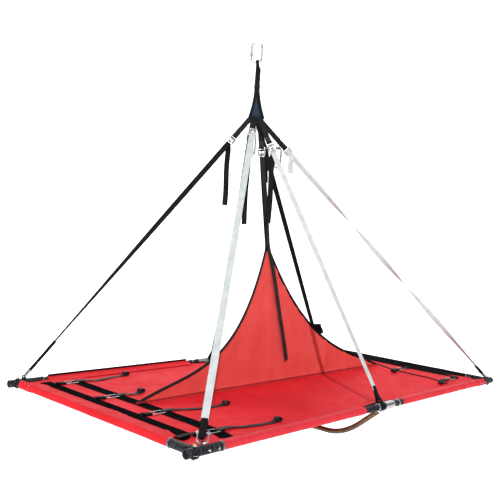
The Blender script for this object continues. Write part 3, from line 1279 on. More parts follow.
def lock_sleeve(start, wide):
    """Knurled ring round the main carabiner's gate."""
    deep = UP.cross(wide)
    outer, bore, sides = 0.0078, 0.0057, 64
    stations = ((0.0, -0.0008), (0.0006, 0.0), (0.0030, 0.0), (0.0034, -0.0003),
                (0.0060, -0.0001), (0.0090, -0.0001), (0.0120, -0.0001), (0.0146, -0.0003),
                (0.0150, 0.0), (0.0174, 0.0), (0.0180, -0.0008))     # height, added radius

    def ring(z, radius):
        row = []
        for j in range(sides):
            a = 2 * math.pi * j / sides
            row.append(start + wide * (radius(j) * math.cos(a)) +
                       deep * (radius(j) * math.sin(a)) + UP * z)
        return row

    rows, vs = [], []
    for z, extra in stations:
        cut = 0.0005 if 0.0034 <= z <= 0.0146 else 0.0
        rows.append(ring(z, lambda j: outer + extra - (cut if j % 4 in (0, 1) else 0.0)))
        vs.append(z)
    for z in (0.0180, 0.0):
        rows.append(ring(z, lambda j: bore))
    vs += [vs[-1] + 0.003 * i for i in (1, 2, 3)]
    sleeve = sweep("main_carabiner_sleeve", rows, spread(0, 1, sides), vs, STEEL,
                   "main_lock_sleeve", closed=True, angle=30)
    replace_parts(sleeve, "main_carabiner_lock_sleeve")


def accessory(name, leg_name, distance, drop, turn):
    """Small carabiner hung on a leg by a knotted cord, a distance down the leg."""
    leg = next(leg for leg in LEGS if leg.name == leg_name)
    hold = leg.top + leg.dir * distance
    wide = Matrix.Rotation(math.radians(turn), 3, "Z") @ SLING_X
    deep = Matrix.Rotation(math.radians(-90), 3, "Z") @ wide
    top_rod = Vector((hold.x, hold.y, hold.z - drop))
    carabiner(f"accessory_carabiner_{name}", top_rod - UP * ACC_H, wide, half_w=ACC_HALF,
              height=ACC_H, corner=0.0155, r=ACC_R, gate_top=0.0690, gate_low=0.0220,
              gate_r=0.0042, body=f"accessory_carabiner_{name}",
              gate_body=f"accessory_gate_{name}")
    low = ACC_R + CORD_R + 0.0008
    loop = [top_rod + deep * (low * math.cos(a)) + UP * (low * math.sin(a))
            for a in angles(180, 30, 7)]
    if name == "left":                          # the cord spans the strap's width
        across = Vector((leg.across.x, leg.across.y, 0.0))
        slope = leg.across.z / across.length
        across.normalize()
        if across.dot(deep) < 0:
            across, slope = -across, -slope
        loop += [hold + across * x + UP * (z + slope * x)
                 for x, z in ((0.0165, -0.006), (0.0165, 0.009), (0.006, 0.0125),
                              (-0.006, 0.0125), (-0.0165, 0.009), (-0.0165, -0.006))]
    else:
        loop += [hold + deep * x + UP * z + leg.normal * BAR_LOOP_R * 0.8
                 for x, z in ((0.0062, -0.016), (0.0062, 0.018), (0.0030, 0.0225),
                              (-0.0030, 0.0225), (-0.0062, 0.018), (-0.0062, -0.016))]
    cord = pipe(f"cord_{name}", loop, CORD_R, CORD, sides=10, closed=True, step=0.002)
    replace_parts(cord, f"cord_loop_{name}")
    knot = top_rod + UP * (low + 0.0075) + deep * (low * 0.75)
    turns = []
    for i in range(37):                         # three turns
        a = 2 * math.pi * i / 12
        turns.append(knot + deep * (0.0021 * math.cos(a)) + wide * (0.0021 * math.sin(a)) +
                     UP * (-0.0040 + 0.0080 * i / 36))
    pipe(f"cord_knot_{name}", turns, 0.0014, CORD, sides=8, step=0.0008)


nose = carabiner("main_carabiner", at_fan(-0.0125, 0.0, ROD_BOTTOM), SLING_X, half_w=0.0240,
                 height=CARABINER_H, corner=0.0165, r=CARABINER_R, gate_top=0.0660,
                 gate_low=0.0215, gate_r=0.0048, body="main_carabiner", gate_body="main_gate")
lock_sleeve(nose + UP * 0.0047, SLING_X)
accessory("left", "front_left", distance=0.030, drop=0.058, turn=57.0)
accessory("right", "front_right", distance=0.140, drop=0.033, turn=48.0)


# ---------------------------------------------------------------- cloth
def grid_faces(rows, columns):
    return [(i * columns + j, i * columns + j + 1, (i + 1) * columns + j + 1,
             (i + 1) * columns + j) for i in range(rows - 1) for j in range(columns - 1)]


def drape(verts, faces, held, grow, frames, gravity, bend):
    """Runs a sheet as cloth, held at some points and cut slightly too large."""
    mesh = bpy.data.meshes.new("sheet")
    mesh.from_pydata([tuple(v) for v in verts], [], faces)
    obj = link("sheet", mesh)
    group = obj.vertex_groups.new(name="held")
    group.add(held, 1.0, "REPLACE")
    cloth = obj.modifiers.new("cloth", "CLOTH")
    s = cloth.settings
    s.quality = 6
    s.mass = 0.25
    s.tension_stiffness = s.compression_stiffness = 30
    s.shear_stiffness = 12
    s.bending_stiffness = bend
    s.tension_damping = s.compression_damping = 15
    s.vertex_group_mass = "held"
    s.shrink_min = -grow
    s.effector_weights.gravity = gravity
    cloth.point_cache.frame_start, cloth.point_cache.frame_end = 1, frames
    scene = bpy.context.scene
    for i in range(1, frames + 1):
        scene.frame_set(i)
    done = obj.evaluated_get(bpy.context.evaluated_depsgraph_get())
    out = [v.co.copy() for v in done.to_mesh().vertices]
    done.to_mesh_clear()
    bpy.data.objects.remove(obj, do_unlink=True)
    scene.frame_set(1)
    return out


def sheet_solid(name, top, n, m, uv, thickness, normal, mat):
    """A closed thin solid from an n by m grid, its underside pushed back along the normal."""
    off = n * m
    faces, uvs = [], []
    for quad in grid_faces(n, m):
        corners = [uv[k] for k in quad]
        faces += [quad, tuple(off + k for k in quad[::-1])]
        uvs += [corners, corners[::-1]]
    rim = [i * m for i in range(n)] + [(n - 1) * m + j for j in range(1, m)]
    rim += [i * m + m - 1 for i in range(n - 2, -1, -1)] + list(range(m - 2, 0, -1))
    for a, b in zip(rim, rim[1:] + rim[:1]):
        faces.append((a, b, off + b, off + a))
        uvs.append([uv[a], uv[b], uv[b], uv[a]])
    return make(name, top + [p - normal * thickness for p in top], faces, uvs, mat, angle=60)


def along_table(table, x):
    for (x0, y0), (x1, y1) in zip(table, table[1:]):
        if x <= x1:
            return y0 + (y1 - y0) * max(0.0, (x - x0) / (x1 - x0))
    return table[-1][1]


def wrinkle(x, y):
    return 0.0011 * bumps(x * 3.1, y * 8.0, 1.7) + 0.0006 * bumps(x * 9.0, y * 21.0, 4.1)


# ---------------------------------------------------------------- bed sheet
BED_HALF_L, BED_HALF_W = 1.0325, 0.5455
# x, distance of the sheet's edge from the middle line
FRONT_EDGE = [(-BED_HALF_L, 0.446), (-1.004, 0.518), (-0.927, BED_HALF_W),
              (0.972, BED_HALF_W), (BED_HALF_L, 0.474)]
REAR_EDGE = [(-BED_HALF_L, 0.524), (-0.910, BED_HALF_W), (0.955, BED_HALF_W),
             (BED_HALF_L, 0.500)]
FRONT_GAP = (-0.112, 0.182)                     # x where the sheet leaves the rail's middle
REAR_GAP = (REAR_SHIFT - 0.182, REAR_SHIFT + 0.112)
GAP_LENGTH = 0.294


def gap_depth(x, x0, x1):
    if not x0 < x < x1:
        return 0.0
    return 0.0255 * math.sin(math.pi * (x - x0) / (x1 - x0)) ** 0.75


def y_front(x):
    return -(along_table(FRONT_EDGE, x) - gap_depth(x, *FRONT_GAP))


def y_rear(x):
    return along_table(REAR_EDGE, x) - gap_depth(x, *REAR_GAP)


bed_xs = {x for x, _ in FRONT_EDGE + REAR_EDGE} | {-1.02}
bed_xs |= {round(x, 5) for x in spread(-BED_HALF_L, BED_HALF_L, 172)}
bed_xs |= {round(x + GAP_LENGTH * i / 24, 5) for i in range(25)
           for x in (FRONT_GAP[0], REAR_GAP[0])}
bed_xs = sorted(bed_xs)
BED_ROWS, BED_COLUMNS = len(bed_xs), 67


def flat_bed():
    """The sheet's grid before it sags, and the points that are held."""
    points, held = [], []
    for i, x in enumerate(bed_xs):
        low, high = y_front(x), y_rear(x)
        for j in range(BED_COLUMNS):
            y = low + (high - low) * (j / (BED_COLUMNS - 1))
            points.append(Vector((x, y, RAIL_Z + 0.0019)))
            if j in (0, BED_COLUMNS - 1) or i in (0, BED_ROWS - 1) or abs(y) < 0.009:
                held.append(i * BED_COLUMNS + j)
    return points, held


def bed_lift(x, y, rested):
    """Height over the flat sheet: sag, wrinkles, the cloth's rest and corner creases."""
    edge = abs(y_front(x) if y < 0 else y_rear(x))
    inside = ease((1.03 - abs(x)) / 0.10) * ease((edge - abs(y)) / 0.06)
    middle = ease((0.775 - abs(x)) / 0.06)
    sag = 0.0030 * math.sin(math.pi * min(1.0, abs(y) / BED_HALF_W)) * (1 - (x / 1.04) ** 2)
    lift = -sag + 0.9 * wrinkle(x, y) * inside * (0.45 + 0.55 * middle)
    share = 0.75 * middle * ease(abs(y) / 0.10)
    lift = lift * (1 - share) + max(-0.0055, min(0.0022, rested)) * share
    pull = 0.0                                  # creases fanning out from the corners
    for cx, cy in ((-0.95, -0.48), (-0.95, 0.50), (0.96, -0.49), (0.96, 0.49)):
        dx, dy = x - cx, y - cy
        distance = math.hypot(dx, dy)
        if distance < 0.55:
            pull += (0.0011 * math.sin(math.atan2(dy, dx) * 17.0 + cx * 3) *
                     ease((0.55 - distance) / 0.35) * ease((distance - 0.04) / 0.10))
    return lift + pull * inside * (0.4 + 0.6 * middle)


flat_points, held = flat_bed()
rested = drape([p + UP * (0.6 * wrinkle(p.x, p.y)) for p in flat_points],
               grid_faces(BED_ROWS, BED_COLUMNS), held,
               grow=0.004, frames=16, gravity=0.6, bend=0.3)
bed_top = [p + UP * bed_lift(p.x, p.y, q.z - p.z) for p, q in zip(flat_points, rested)]
bed = sheet_solid("bed_sheet", bed_top, BED_ROWS, BED_COLUMNS,
                  [(p.x, p.y) for p in flat_points], 0.0011, UP, RED)
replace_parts(bed, "bed")


def bed_z(x, y):
    """Height of the sheet's top at a place, from its own grid."""
    k = min(range(BED_ROWS), key=lambda i: abs(bed_xs[i] - x))
    low, high = y_front(bed_xs[k]), y_rear(bed_xs[k])
    place = max(0.0, min(1.0, (y - low) / (high - low))) * (BED_COLUMNS - 1)
    j = min(BED_COLUMNS - 2, int(place))
    part = place - j
    at = k * BED_COLUMNS + j
    return bed_top[at].z * (1 - part) + bed_top[at + 1].z * part


# ---------------------------------------------------------------- sleeves over the tubes
SLEEVE_R, SLEEVE_FITTING_R = TUBE_R + 0.0017, FITTING_R + 0.0014
WIDEN_X = 0.922                                 # where rail sleeves widen over the fittings


def widening(at):
    """Radius along a sleeve that widens over a fitting at a place."""
    return lambda d: SLEEVE_R + (SLEEVE_FITTING_R - SLEEVE_R) * ease((d - at) / 0.02 + 0.5)


def tube_sleeve(name, start, along, inboard, length, seam, radius, mat, wrinkled=0.0008):
    """Cloth round a tube, drawn together at an inboard seam: a swept teardrop.

    seam and radius give, at a distance along, the seam's distance and the cloth's radius.
    """
    rows, vs = [], []
    steps = max(6, int(length / 0.012))
    for i in range(steps + 1):
        d = length * i / steps
        r, s = radius(d), seam(d)
        phi = math.acos(r / s)
        touch_x, touch_z = r * math.cos(phi), r * math.sin(phi)
        section = []                            # inboard, up, share of the wrinkles
        for k in range(5):                      # seam to crown, slightly hollow
            u = k / 5
            section.append((s + (touch_x - s) * u, 0.0030 + (touch_z - 0.0030) * u -
                            0.0010 * math.sin(math.pi * u), 0.6))
        for k in range(19):
            a = phi + (2 * math.pi - 2 * phi) * k / 18
            section.append((r * math.cos(a), r * math.sin(a), 0.35))
        for k in range(1, 6):                   # underside back to the seam
            u = k / 5
            section.append((touch_x + (s - touch_x) * u, -touch_z + (touch_z + 0.0002) * u +
                            0.0010 * math.sin(math.pi * u), 0.6))
        row = []
        for k, (x, z, share) in enumerate(section):
            fold = (bumps(d * 26.0, k * 0.42, start.x + start.y * 3) +
                    0.6 * bumps(d * 60.0 + k * 1.1, k * 0.9, 7.0))
            height = max(0.0, fold) * wrinkled * share * 2.2
            row.append(start + along * d +
                       inboard * (x + height * x / (math.hypot(x, z) or 1.0) * 0.3) +
                       UP * (z + height * (1 if z >= 0 else -1)))
        rows.append(row)
        vs.append(d)
    sweep(name, rows, lengths(rows[0], True), vs, mat, angle=70)


for name, sy, x0, x1, mat in (("front_sleeve_left", -1, -0.927, FRONT_GAP[0], RED_SLEEVE),
                              ("front_sleeve_right", -1, FRONT_GAP[1], 0.988, RED_SLEEVE),
                              ("rear_sleeve_left", 1, -0.910, REAR_GAP[0], RED),
                              ("rear_sleeve_right", 1, REAR_GAP[1], 0.955, RED)):
    tube_sleeve(name, Vector((x0, sy * HALF_WIDTH, RAIL_Z)), X, Y * -sy, x1 - x0,
                seam=lambda d: 0.045, radius=widening(WIDEN_X - x0), mat=mat)
tube_sleeve("left_sleeve", Vector((-HALF_LENGTH, -0.443, RAIL_Z)), Y, X, 0.443 + 0.520,
            seam=lambda d: 0.030 + 0.052 * ease(d / 0.10) * ease((0.99 - d) / 0.10),
            radius=widening(0.443 + 0.432), mat=RED, wrinkled=0.0016)
tube_sleeve("right_sleeve", Vector((HALF_LENGTH, -0.443, RAIL_Z)), Y, -X, 0.443 + 0.500,
            seam=lambda d: 0.030 + 0.052 * ease(d / 0.14) * ease((0.97 - d) / 0.10),
            radius=widening(0.443 + 0.432), mat=BLACK_CLOTH, wrinkled=0.0014)

# Bindings along the sheet's free edges
for name, edge, gap in (("front", y_front, FRONT_GAP), ("rear", y_rear, REAR_GAP)):
    pipe(f"opening_binding_{name}",
         [Vector((x, edge(x), RAIL_Z + 0.0014)) for x in spread(*gap, 40)], 0.0044,
         BLACK_CLOTH, sides=12, smooth=False)
# corner, radius, material, (x, y, height over the rails) of three points
for corner, radius, mat, points in (
        ("front_right", 0.0036, BLACK_CLOTH,
         ((0.975, -0.5455, 0.003), (1.004, -0.508, 0.0025), (1.0325, -0.474, 0.003))),
        ("front_left", 0.0026, SEAM,
         ((-0.930, -0.546, 0.002), (-1.004, -0.519, 0.002), (-1.033, -0.446, 0.002))),
        ("rear_left", 0.0026, SEAM,
         ((-0.912, 0.546, 0.002), (-0.975, 0.5345, 0.002), (-1.033, 0.524, 0.002))),
        ("rear_right", 0.0030, BLACK_CLOTH,
         ((0.957, 0.546, 0.002), (0.995, 0.523, 0.002), (1.033, 0.500, 0.002)))):
    pipe(f"corner_binding_{corner}", [Vector((x, y, RAIL_Z + z)) for x, y, z in points],
         radius, mat, sides=12)


def rear_edge(name, x0, x1):
    """Tape and roll along the top of a rear sleeve."""
    places = [(x, widening(WIDEN_X)(x) + 0.0013) for x in spread(x0, x1, 80)]
    tape = [Vector((x, HALF_WIDTH + 0.34 * r,
                    RAIL_Z + 0.94 * r + 0.0004 * bumps(x * 40.0, 1.0, 2.0)))
            for x, r in places]
    strap(f"rear_edge_tape_{name}", tape, [Y * 0.94 - UP * 0.34] * len(tape), 0.015, 0.0020,
          BLACK_CLOTH, smooth=False, curl=0.0016)
    roll = [Vector((x, HALF_WIDTH - 0.001,
                    RAIL_Z + r + 0.0030 + 0.0003 * bumps(x * 30.0, 4.0, 2.0)))
            for x, r in places]
    pipe(f"rear_edge_roll_{name}", roll, 0.0042, BLACK_CLOTH, sides=12, smooth=False)


rear_edge("left", -0.905, REAR_SHIFT - 0.186)
rear_edge("right", REAR_SHIFT + 0.116, 0.950)
lines = []
for y, on_seam in ((-HALF_WIDTH + 0.0415, True), (-HALF_WIDTH + 0.0475, False)):
    for x0, x1 in ((-0.925, -0.115), (0.185, 0.985)):
        lines.append(([Vector((x, y, RAIL_Z + 0.0042 if on_seam else bed_z(x, y) + 0.0002))
                       for x in spread(x0, x1, 60)], UP))
stitches("front_seam_thread", lines, pitch=0.0075, length=0.0050)

# ---------------------------------------------------------------- divider
DIVIDER_HALF = 0.850
DIVIDER_BASE = RAIL_Z + BED_T / 2 + 0.0008
DIVIDER_RISE = DIVIDER_APEX.z - RAIL_Z
SLANT = Vector((0.0, DIVIDER_APEX.y, DIVIDER_APEX.z - DIVIDER_BASE)).normalized()
FRONT = X.cross(SLANT)                          # the sheet's front normal, towards -Y
SLANT_SCALE = math.hypot(DIVIDER_APEX.y, DIVIDER_APEX.z - DIVIDER_BASE)
EDGE_STEPS, DIVIDER_ROWS = 56, 41


def on_sheet(x, height, out=0.0):
    """A point of the leaning sheet: x, distance up its slant, distance in front."""
    return Vector((0, 0, DIVIDER_BASE)) + X * x + SLANT * height + FRONT * out


def divider_edge(end, linear, power):
    """(x, height) up one hollow edge, from an end to the apex."""
    inset = 0.012 if end > 0 else -0.012        # the apex is cut flat
    points = []
    for i in range(EDGE_STEPS + 1):
        u = (i / EDGE_STEPS) ** 0.8
        height = 0.030 + (DIVIDER_APEX.z - RAIL_Z - 0.031) * (linear * u +
                                                              (1 - linear) * u ** power)
        height = (height - 0.024 * (1 - u) ** 6) * SLANT_SCALE / DIVIDER_RISE
        points.append((end + (DIVIDER_APEX.x - end) * u + inset * u ** 6, height))
    return points


edge_points = divider_edge(-DIVIDER_HALF, 0.24, 4.0)
edge_points += divider_edge(DIVIDER_HALF, 0.32, 3.2)[::-1]
APEX_HEIGHT = edge_points[EDGE_STEPS + 1][1]


def divider_sheet():
    """The cloth, folded in a fan from the apex and let hang."""
    count = len(edge_points)
    sheet, held, uvs = [], [], []
    for i, (x, top) in enumerate(edge_points):
        for j in range(DIVIDER_ROWS):
            v = j / (DIVIDER_ROWS - 1)
            height = -0.002 + (top + 0.002) * v
            down = max(0.02, APEX_HEIGHT - height)
            a = math.atan2(x - DIVIDER_APEX.x, down)
            amount = min(1.0, down / 0.25) * math.sin(math.pi * v) ** 0.7
            fold = (0.0024 * math.sin(a * 15.0 + 1.1 * math.sin(a * 4.0)) +
                    0.0030 * bumps(x * 5.5, height * 1.6, 2.0))
            sheet.append(on_sheet(x, height, fold * amount * (1.15 if x > 0 else 0.6)))
            uvs.append((x, height))
            if j in (0, DIVIDER_ROWS - 1) or i in (0, count - 1):
                held.append(i * DIVIDER_ROWS + j)
    rested = drape(sheet, grid_faces(count, DIVIDER_ROWS), held,
                   grow=0.010, frames=24, gravity=0.25, bend=0.5)
    final = []
    for p, q, (x, _) in zip(sheet, rested, uvs):
        move = max(-0.0060, min(0.0060, (q - p).dot(FRONT)))
        final.append(p + FRONT * (move * (0.85 if x > -0.05 else 0.45) + 0.0009))
    solid = sheet_solid("divider_sheet", final, count, DIVIDER_ROWS, uvs, 0.0018, FRONT,
                        RED_DIVIDER)
    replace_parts(solid, "divider")


def divider_binding(tag, edge, mat):
    """Binding along one hollow edge, with its thread."""
    points, widths = [], []
    for i, (x, height) in enumerate(edge):
        before, after = edge[max(0, i - 1)], edge[min(len(edge) - 1, i + 1)]
        along = (X * (after[0] - before[0]) + SLANT * (after[1] - before[1])).normalized()
        down = along.cross(FRONT)
        if down.dot(SLANT) > 0:
            down = -down
        points.append(on_sheet(x, height) + down * 0.0052)
        widths.append(down)
    strap(f"divider_binding_{tag}", points, widths, 0.0135, 0.0048, mat, smooth=False)
    thread = [p + down * 0.0042 + FRONT * 0.0025 for p, down in zip(points, widths)]
    stitches(f"divider_binding_thread_{tag}", [(thread, FRONT)], pitch=0.007, length=0.0046)


def divider_base():
    """Seam and two flanges along the foot of the divider."""
    places = spread(-DIVIDER_HALF, DIVIDER_HALF, 60)
    strap("divider_base_seam", [on_sheet(x, 0.0045) for x in places], [SLANT] * len(places),
          0.0090, 0.0062, SEAM, smooth=False)
    for side, s in SIDES:
        y = s * 0.0095
        strap(f"divider_base_flange_{side}",
              [Vector((x, y, bed_z(x, y) + 0.0008)) for x in places], [Y] * len(places),
              0.014, 0.0012, RED, smooth=False)


def apex_patches():
    shape = [(-0.0135, 0.004), (-0.0155, -0.008), (-0.0165, -0.020), (0.0175, -0.020),
             (0.0160, -0.008), (0.0140, 0.004)]
    for s, tag in ((1, "front"), (-1, "rear")):
        plate(f"apex_patch_{tag}", [shape], 0.0014, BLACK_CLOTH,
              basis(X, SLANT, FRONT, on_sheet(DIVIDER_APEX.x, APEX_HEIGHT, s * 0.0030)),
              bevel=0.0004)


def divider_strap():
    """Tail up the front face, round the buckle's bar and back down to the rear patch."""
    leg = DIVIDER_LEG
    apex = DIVIDER_APEX + FRONT * 0.0062
    points = []
    tail_width = (X + SLANT * 0.22).normalized()
    for u in (1.0, 0.85, 0.7, 0.55, 0.4, 0.25, 0.12, 0.0):
        x = DIVIDER_APEX.x + 0.020 + (0.046 - DIVIDER_APEX.x - 0.020) * u
        height = (0.575 + (0.096 - 0.575) * u) * SLANT_SCALE / DIVIDER_RISE
        out = 0.0078 + 0.004 * math.sin(math.pi * u) + 0.0015 * math.sin(9 * u)
        points.append(on_sheet(x, height, out))
    widths = [tail_width] * len(points)
    points.append(apex + SLANT * 0.004 + FRONT * 0.0010)
    widths.append(X + SLANT * 0.1)
    start = leg.local(0.024, BAR_LOOP_R)
    across = leg.across if leg.across.x > 0 else -leg.across
    for i in range(1, 8):
        u = i / 7
        points.append((apex + SLANT * 0.006).lerp(start, u) +
                      FRONT * (0.004 * math.sin(math.pi * u)))
        widths.append(X.lerp(across, u * u))
    points += [*leg.bar_turn(-0.0045, -1, 90, -15), leg.local(0.024, -BAR_LOOP_R)]
    widths += [across] * 14
    back = on_sheet(DIVIDER_APEX.x, APEX_HEIGHT + 0.004, -0.0048)
    for i in range(1, 7):
        points.append(leg.local(0.030, -BAR_LOOP_R).lerp(back, i / 6))
        widths.append(across.lerp(X, i / 6))
    points.append(on_sheet(DIVIDER_APEX.x, APEX_HEIGHT - 0.045, -0.0048))
    widths.append(X)
    lift = strap("divider_lift_strap", points, widths, WEB - 0.002, 0.0018, GREY_WEB,
                 step=0.004)
    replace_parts(lift, "divider_strap")
    tip = points[0]
    hem = [tip + FRONT * 0.0017 + SLANT * 0.0006,
           tip + FRONT * 0.0019 + (points[1] - tip).normalized() * 0.028]
    strap("divider_tail_hem", hem, [tail_width] * 2, WEB - 0.003, 0.0016, GREY_WEB,
          smooth=False)
    stitches("apex_stitch", box_stitch(on_sheet(DIVIDER_APEX.x, APEX_HEIGHT - 0.024, -0.0059),
                                       SLANT, X, -FRONT, 0.030, 0.017), THREAD)


divider_sheet()
divider_binding("left", edge_points[:EDGE_STEPS + 1], GREY_WEB)
divider_binding("right", edge_points[EDGE_STEPS + 1:], BLACK_CLOTH)
divider_base()
apex_patches()
divider_strap()


# ---------------------------------------------------------------- bands across the bed's ends
def line_plan(*corners, count):
    """Evenly spaced (x, y) places along straight runs between corners."""
    run = lengths([Vector((*corner, 0.0)) for corner in corners])
    out = []
    for i in range(count + 1):
        k, part = locate(run, run[-1] * i / count)
        (x0, y0), (x1, y1) = corners[k], corners[k + 1]
        out.append((x0 + (x1 - x0) * part, y0 + (y1 - y0) * part))
    return out


def band(name, plan, width, thickness, mat):
    """A flat band laid on the bed along a plan."""
    points, widths = [], []
    for i, (x, y) in enumerate(plan):
        before, after = plan[max(0, i - 1)], plan[min(len(plan) - 1, i + 1)]
        along = Vector((after[0] - before[0], after[1] - before[1], 0)).normalized()
        points.append(Vector((x, y, bed_z(x, y) + 0.0003 + thickness / 2)))
        widths.append(UP.cross(along))
    strap(name, points, widths, width, thickness, mat, smooth=False)


band("end_band_outer", line_plan((-1.008, -0.432), (-0.985, -0.428), (-0.957, -0.400),
                                 (-0.953, 0.0), (-0.953, 0.500), count=60),
     width=0.050, thickness=0.0030, mat=GLOSSY_WEB)
band("end_band_inner", line_plan((-0.858, -0.512), (-0.838, -0.44), (-0.829, -0.30),
                                 (-0.828, 0.0), (-0.828, 0.482), count=60),
     width=0.055, thickness=0.0016, mat=GLOSSY_WEB)
band("end_band_right", line_plan((0.962, -0.43), (0.955, -0.2), (0.962, 0.0), (0.972, 0.470),
                                 count=50),
     width=0.030, thickness=0.0016, mat=BLACK_CLOTH)
pipe("right_edge_cord",
     [Vector((x, y, bed_z(x, y) + 0.0022))
      for x, y in line_plan((0.925, 0.108), (0.86, -0.02), (0.803, -0.15), (0.797, -0.347),
                            (0.751, -0.483), count=60)],
     0.0034, CORD, sides=10)
stitches("end_band_thread",
         [([Vector((x + s * inset, y, bed_z(x, y) + 0.0022)) for y in spread(-0.38, 0.46, 60)],
           UP) for x, inset in ((-0.953, 0.0215), (-0.828, 0.0245)) for s in (-1, 1)],
         pitch=0.007, length=0.0046)

# ---------------------------------------------------------------- tension rings
# (x, y) of each tail's end, in the rings' order from front to rear
TAILS = {"left": ((-0.554, -0.460), (-0.549, -0.181), (-0.713, 0.156), (-0.567, 0.465)),
         "right": ((0.733, -0.458), (0.763, -0.164), (0.752, 0.158), (0.742, 0.452))}
RING_LOOP_R = RING_ROD + 0.0008 + 0.0003        # of the straps round a ring's bars


def bar_loop(bar, inward, first, step):
    return [bar + inward * (RING_LOOP_R * math.cos(a)) + UP * (RING_LOOP_R * math.sin(a))
            for a in angles(first, step, 11)]


def ring_anchor(end, number, bar, inward):
    """Strap round the ring's outer bar, with a sewn lump on it."""
    long = end == "left" and number == 1        # this one reaches further out, in a bow
    far, lift, start_y, mid_y = (0.140, 0.0120, -0.014, 0.010) if long else \
        (0.052, 0.0030, 0, 0.0)
    points = [bar - inward * far + UP * lift + Vector((0, start_y, 0)),
              bar - inward * far * 0.5 + UP * 0.0052 + Vector((0, mid_y, 0)),
              bar - inward * 0.011 + UP * (RING_LOOP_R + 0.0002),
              *bar_loop(bar, inward, 90, -18),
              bar - inward * 0.014 - UP * (RING_LOOP_R - 0.0006),
              bar - inward * 0.034 - UP * 0.0012]
    strap(f"anchor_{end}_{number}", points, [Y] * len(points), 0.0235, 0.0016, BLACK_WEB)
    centre = bar - inward * 0.036
    lump = [centre - inward * 0.014 - UP * 0.0006, centre - inward * 0.006 + UP * 0.0018,
            centre + inward * 0.006 + UP * 0.0020, centre + inward * 0.013 + UP * 0.0002]
    strap(f"anchor_lump_{end}_{number}", lump, [Y] * 4, [0.022, 0.027, 0.0265, 0.021], 0.0072,
          GLOSSY_WEB)
    stitches(f"anchor_stitch_{end}_{number}",
             [([centre + Y * y + UP * 0.0062 + inward * shift for y in (-0.009, 0.009)], UP)
              for shift in (-0.004, 0.0, 0.004)])


def ring_tail(end, number, sx, bar, inward, tail):
    """Strap round the inner bar and inboard along the bed, ending in a teardrop loop."""
    points = [bar + inward * 0.034 + UP * 0.0004,
              bar + inward * 0.012 - UP * (RING_LOOP_R * 0.6),
              *bar_loop(bar, inward, -90, -18),
              bar + inward * 0.014 + UP * (RING_LOOP_R + 0.0006),
              bar + inward * 0.040 + UP * 0.0042]
    inner_x = sx * (RING_X - RING_L / 2)
    y = RING_Y[number - 1]
    start = Vector((inner_x - sx * 0.055, y, 0))
    span = Vector((*tail, 0)) - start
    widths = [Y] * len(points)
    for i in range(1, 9):
        u = i / 8
        p = start + span * u + Y * (0.006 * math.sin(u * 5.0 + number))
        p.z = bed_z(p.x, p.y) + 0.0022 + \
            0.0030 * abs(math.sin(u * 6.0 + number * 1.3)) * (1 - u)
        points.append(p)
    along = span.normalized()
    tip = points[-1]
    r = 0.0085
    for i in range(1, 12):
        a = math.radians(-90 + 30 * i * 0.92)
        points.append(tip + along * (0.014 + 1.5 * r * math.cos(a)) +
                      UP * (r + r * math.sin(a)))
    points.append(tip - along * 0.012 + UP * 0.0026)
    across = UP.cross(along).normalized()
    if across.dot(Y) <= 0:
        across = -across
    widths += [across] * (len(points) - len(widths))
    obj = strap(f"tail_{end}_{number}", points, widths, 0.0235, 0.0015, GREY_WEB, step=0.004,
                ride=False)
    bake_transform(obj)


for end, sx in (("left", -1), ("right", 1)):
    inward = Vector((-sx, 0, 0))
    for number, (y, tail) in enumerate(zip(RING_Y, TAILS[end]), 1):
        body = f"tension_ring_{end}_{number}"
        shape = [Vector((sx * RING_X + px, y + py, RING_Z))
                 for px, py in rounded(RING_L, RING_W, 0.009, 8)]
        ring = pipe(f"ring_{end}_{number}", shape, RING_ROD, STEEL, body, sides=14,
                    closed=True, smooth=False)
        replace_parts(ring, body)
        outer_bar = Vector((sx * (RING_X + RING_L / 2), y, RING_Z))
        inner_bar = Vector((sx * (RING_X - RING_L / 2), y, RING_Z))
        ring_anchor(end, number, outer_bar, inward)
        ring_tail(end, number, sx, inner_bar, inward, tail)

# ---------------------------------------------------------------- carried-over CAD pieces
for name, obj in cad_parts.items():
    if obj.hide_render:
        continue
    mat = BLACK if "rail" in name else STEEL
    for slot in obj.material_slots:
        slot.material = mat
    if not obj.material_slots:
        obj.data.materials.append(mat)


# ---------------------------------------------------------------- floor, light, camera
def view_back(turn, tilt):
    """Direction from the scene back to a viewer turned about Z and tilted up."""
    return Vector((math.sin(turn) * math.cos(tilt), -math.cos(turn) * math.cos(tilt),
                   math.sin(tilt)))


def studio_floor():
    """A pale floor that curves up into a wall opposite the camera."""
    s = Shader("studio_floor")
    cloud = s.noise(s.coord("Object"), 0.6, 3.0)
    tint = s.mix(cloud, (0.93, 0.93, 0.935), (0.96, 0.96, 0.96))
    mat = s.surface(Base_Color=tint, Roughness=0.9, Emission_Color=tint,
                    Emission_Strength=0.42, Specular_IOR_Level=0.1)
    back = view_back(-0.8124, 0.0)
    side = UP.cross(back)
    floor_z = -0.95
    profile = [(9.0, 0.0), (4.0, 0.0), (0.0, 0.0), (-4.0, 0.0), (-7.0, 0.0)]
    profile += [(-7.0 - 3.0 * math.sin(a), 3.0 - 3.0 * math.cos(a)) for a in angles(15, 15, 6)]
    profile += [(-10.0, 6.0), (-10.0, 12.0)]
    rows = [[back * distance + side * wide + UP * (floor_z + height)
             for wide in (-14, -7, 0, 7, 14)] for distance, height in profile]
    data = sweep_data(rows, [0, .25, .5, .75, 1], [i / 10 for i in range(len(rows))],
                      ring=False)
    make("studio_floor", *data, mat, ride=False, angle=60)


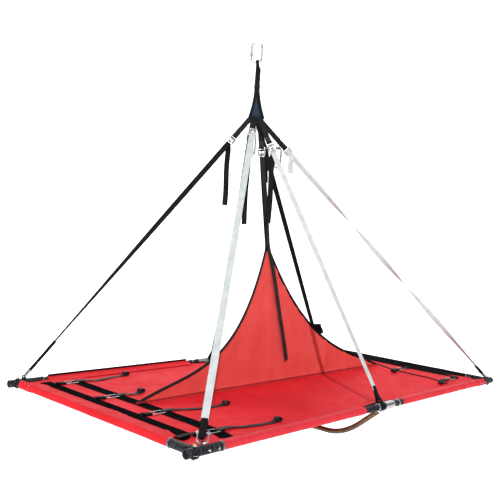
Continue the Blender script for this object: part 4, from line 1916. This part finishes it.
def studio_world():
    """Soft grey light that depends on height."""
    world = bpy.data.worlds.new("studio")
    world.use_nodes = True
    tree = world.node_tree
    background = tree.nodes["Background"]
    where = tree.nodes.new("ShaderNodeTexCoord")
    split = tree.nodes.new("ShaderNodeSeparateXYZ")
    tree.links.new(where.outputs["Generated"], split.inputs[0])
    ramp = tree.nodes.new("ShaderNodeValToRGB")
    tree.links.new(split.outputs[2], ramp.inputs[0])
    stops = ramp.color_ramp.elements

    def grey(stop, value):
        stop.color = (value, value, value * 1.01, 1.0)

    grey(stops[0], 0.55)
    stops.new(0.16)
    grey(stops.new(0.22), 0.75)
    grey(stops.new(0.5), 1.0)
    stops[1].position = 1.0                     # the stop added at 0.16 goes to the top end
    grey(stops[1], 1.0)
    tree.links.new(ramp.outputs[0], background.inputs[0])
    background.inputs[1].default_value = 0.55
    bpy.context.scene.world = world


def area(name, at, aim, size, power):
    light = bpy.data.lights.new(name, "AREA")
    light.shape = "DISK"
    light.size = size
    light.energy = power
    obj = link(name, light)
    obj.location = at
    obj.rotation_euler = (Vector(aim) - Vector(at)).to_track_quat("-Z", "Y").to_euler()


def lights():
    sun = bpy.data.lights.new("key", "SUN")
    sun.energy = 2.3
    sun.angle = math.radians(1.2)
    lamp = link("key", sun)
    towards_sun = Vector((-1.156, -1.226, 1.0))
    lamp.rotation_euler = towards_sun.to_track_quat("Z", "Y").to_euler()
    area("fill", at=(-5.0, 0.4, 2.6), aim=(0, 0, 0.6), size=3.2, power=60)
    area("back", at=(2.5, 4.5, 4.0), aim=(0, 0, 0.8), size=3.0, power=80)


def view():
    """Camera at the front left, looking across the bed and rolled slightly."""
    back = view_back(turn=-0.812402, tilt=0.0216812)
    roll = 0.0653820
    right = (-back).cross(UP).normalized()
    up = right.cross(-back)
    c, s = math.cos(roll), math.sin(roll)
    data = bpy.data.cameras.new("camera")
    camera = bpy.data.objects.new("camera", data)
    camera.matrix_world = basis(right * c + up * s, up * c - right * s, back,
                                Vector((-2.53841, -2.13882, 0.88083)))
    data.sensor_width = 36.0
    data.lens = 50.07384
    data.shift_x = 0.00578
    data.clip_end = 60.0
    scene = bpy.context.scene
    scene.collection.objects.link(camera)
    scene.camera = camera
    scene.view_settings.view_transform = "Standard"
    scene.view_settings.look = "None"
    scene.view_settings.exposure = 0.08


studio_floor()
studio_world()
lights()
view()
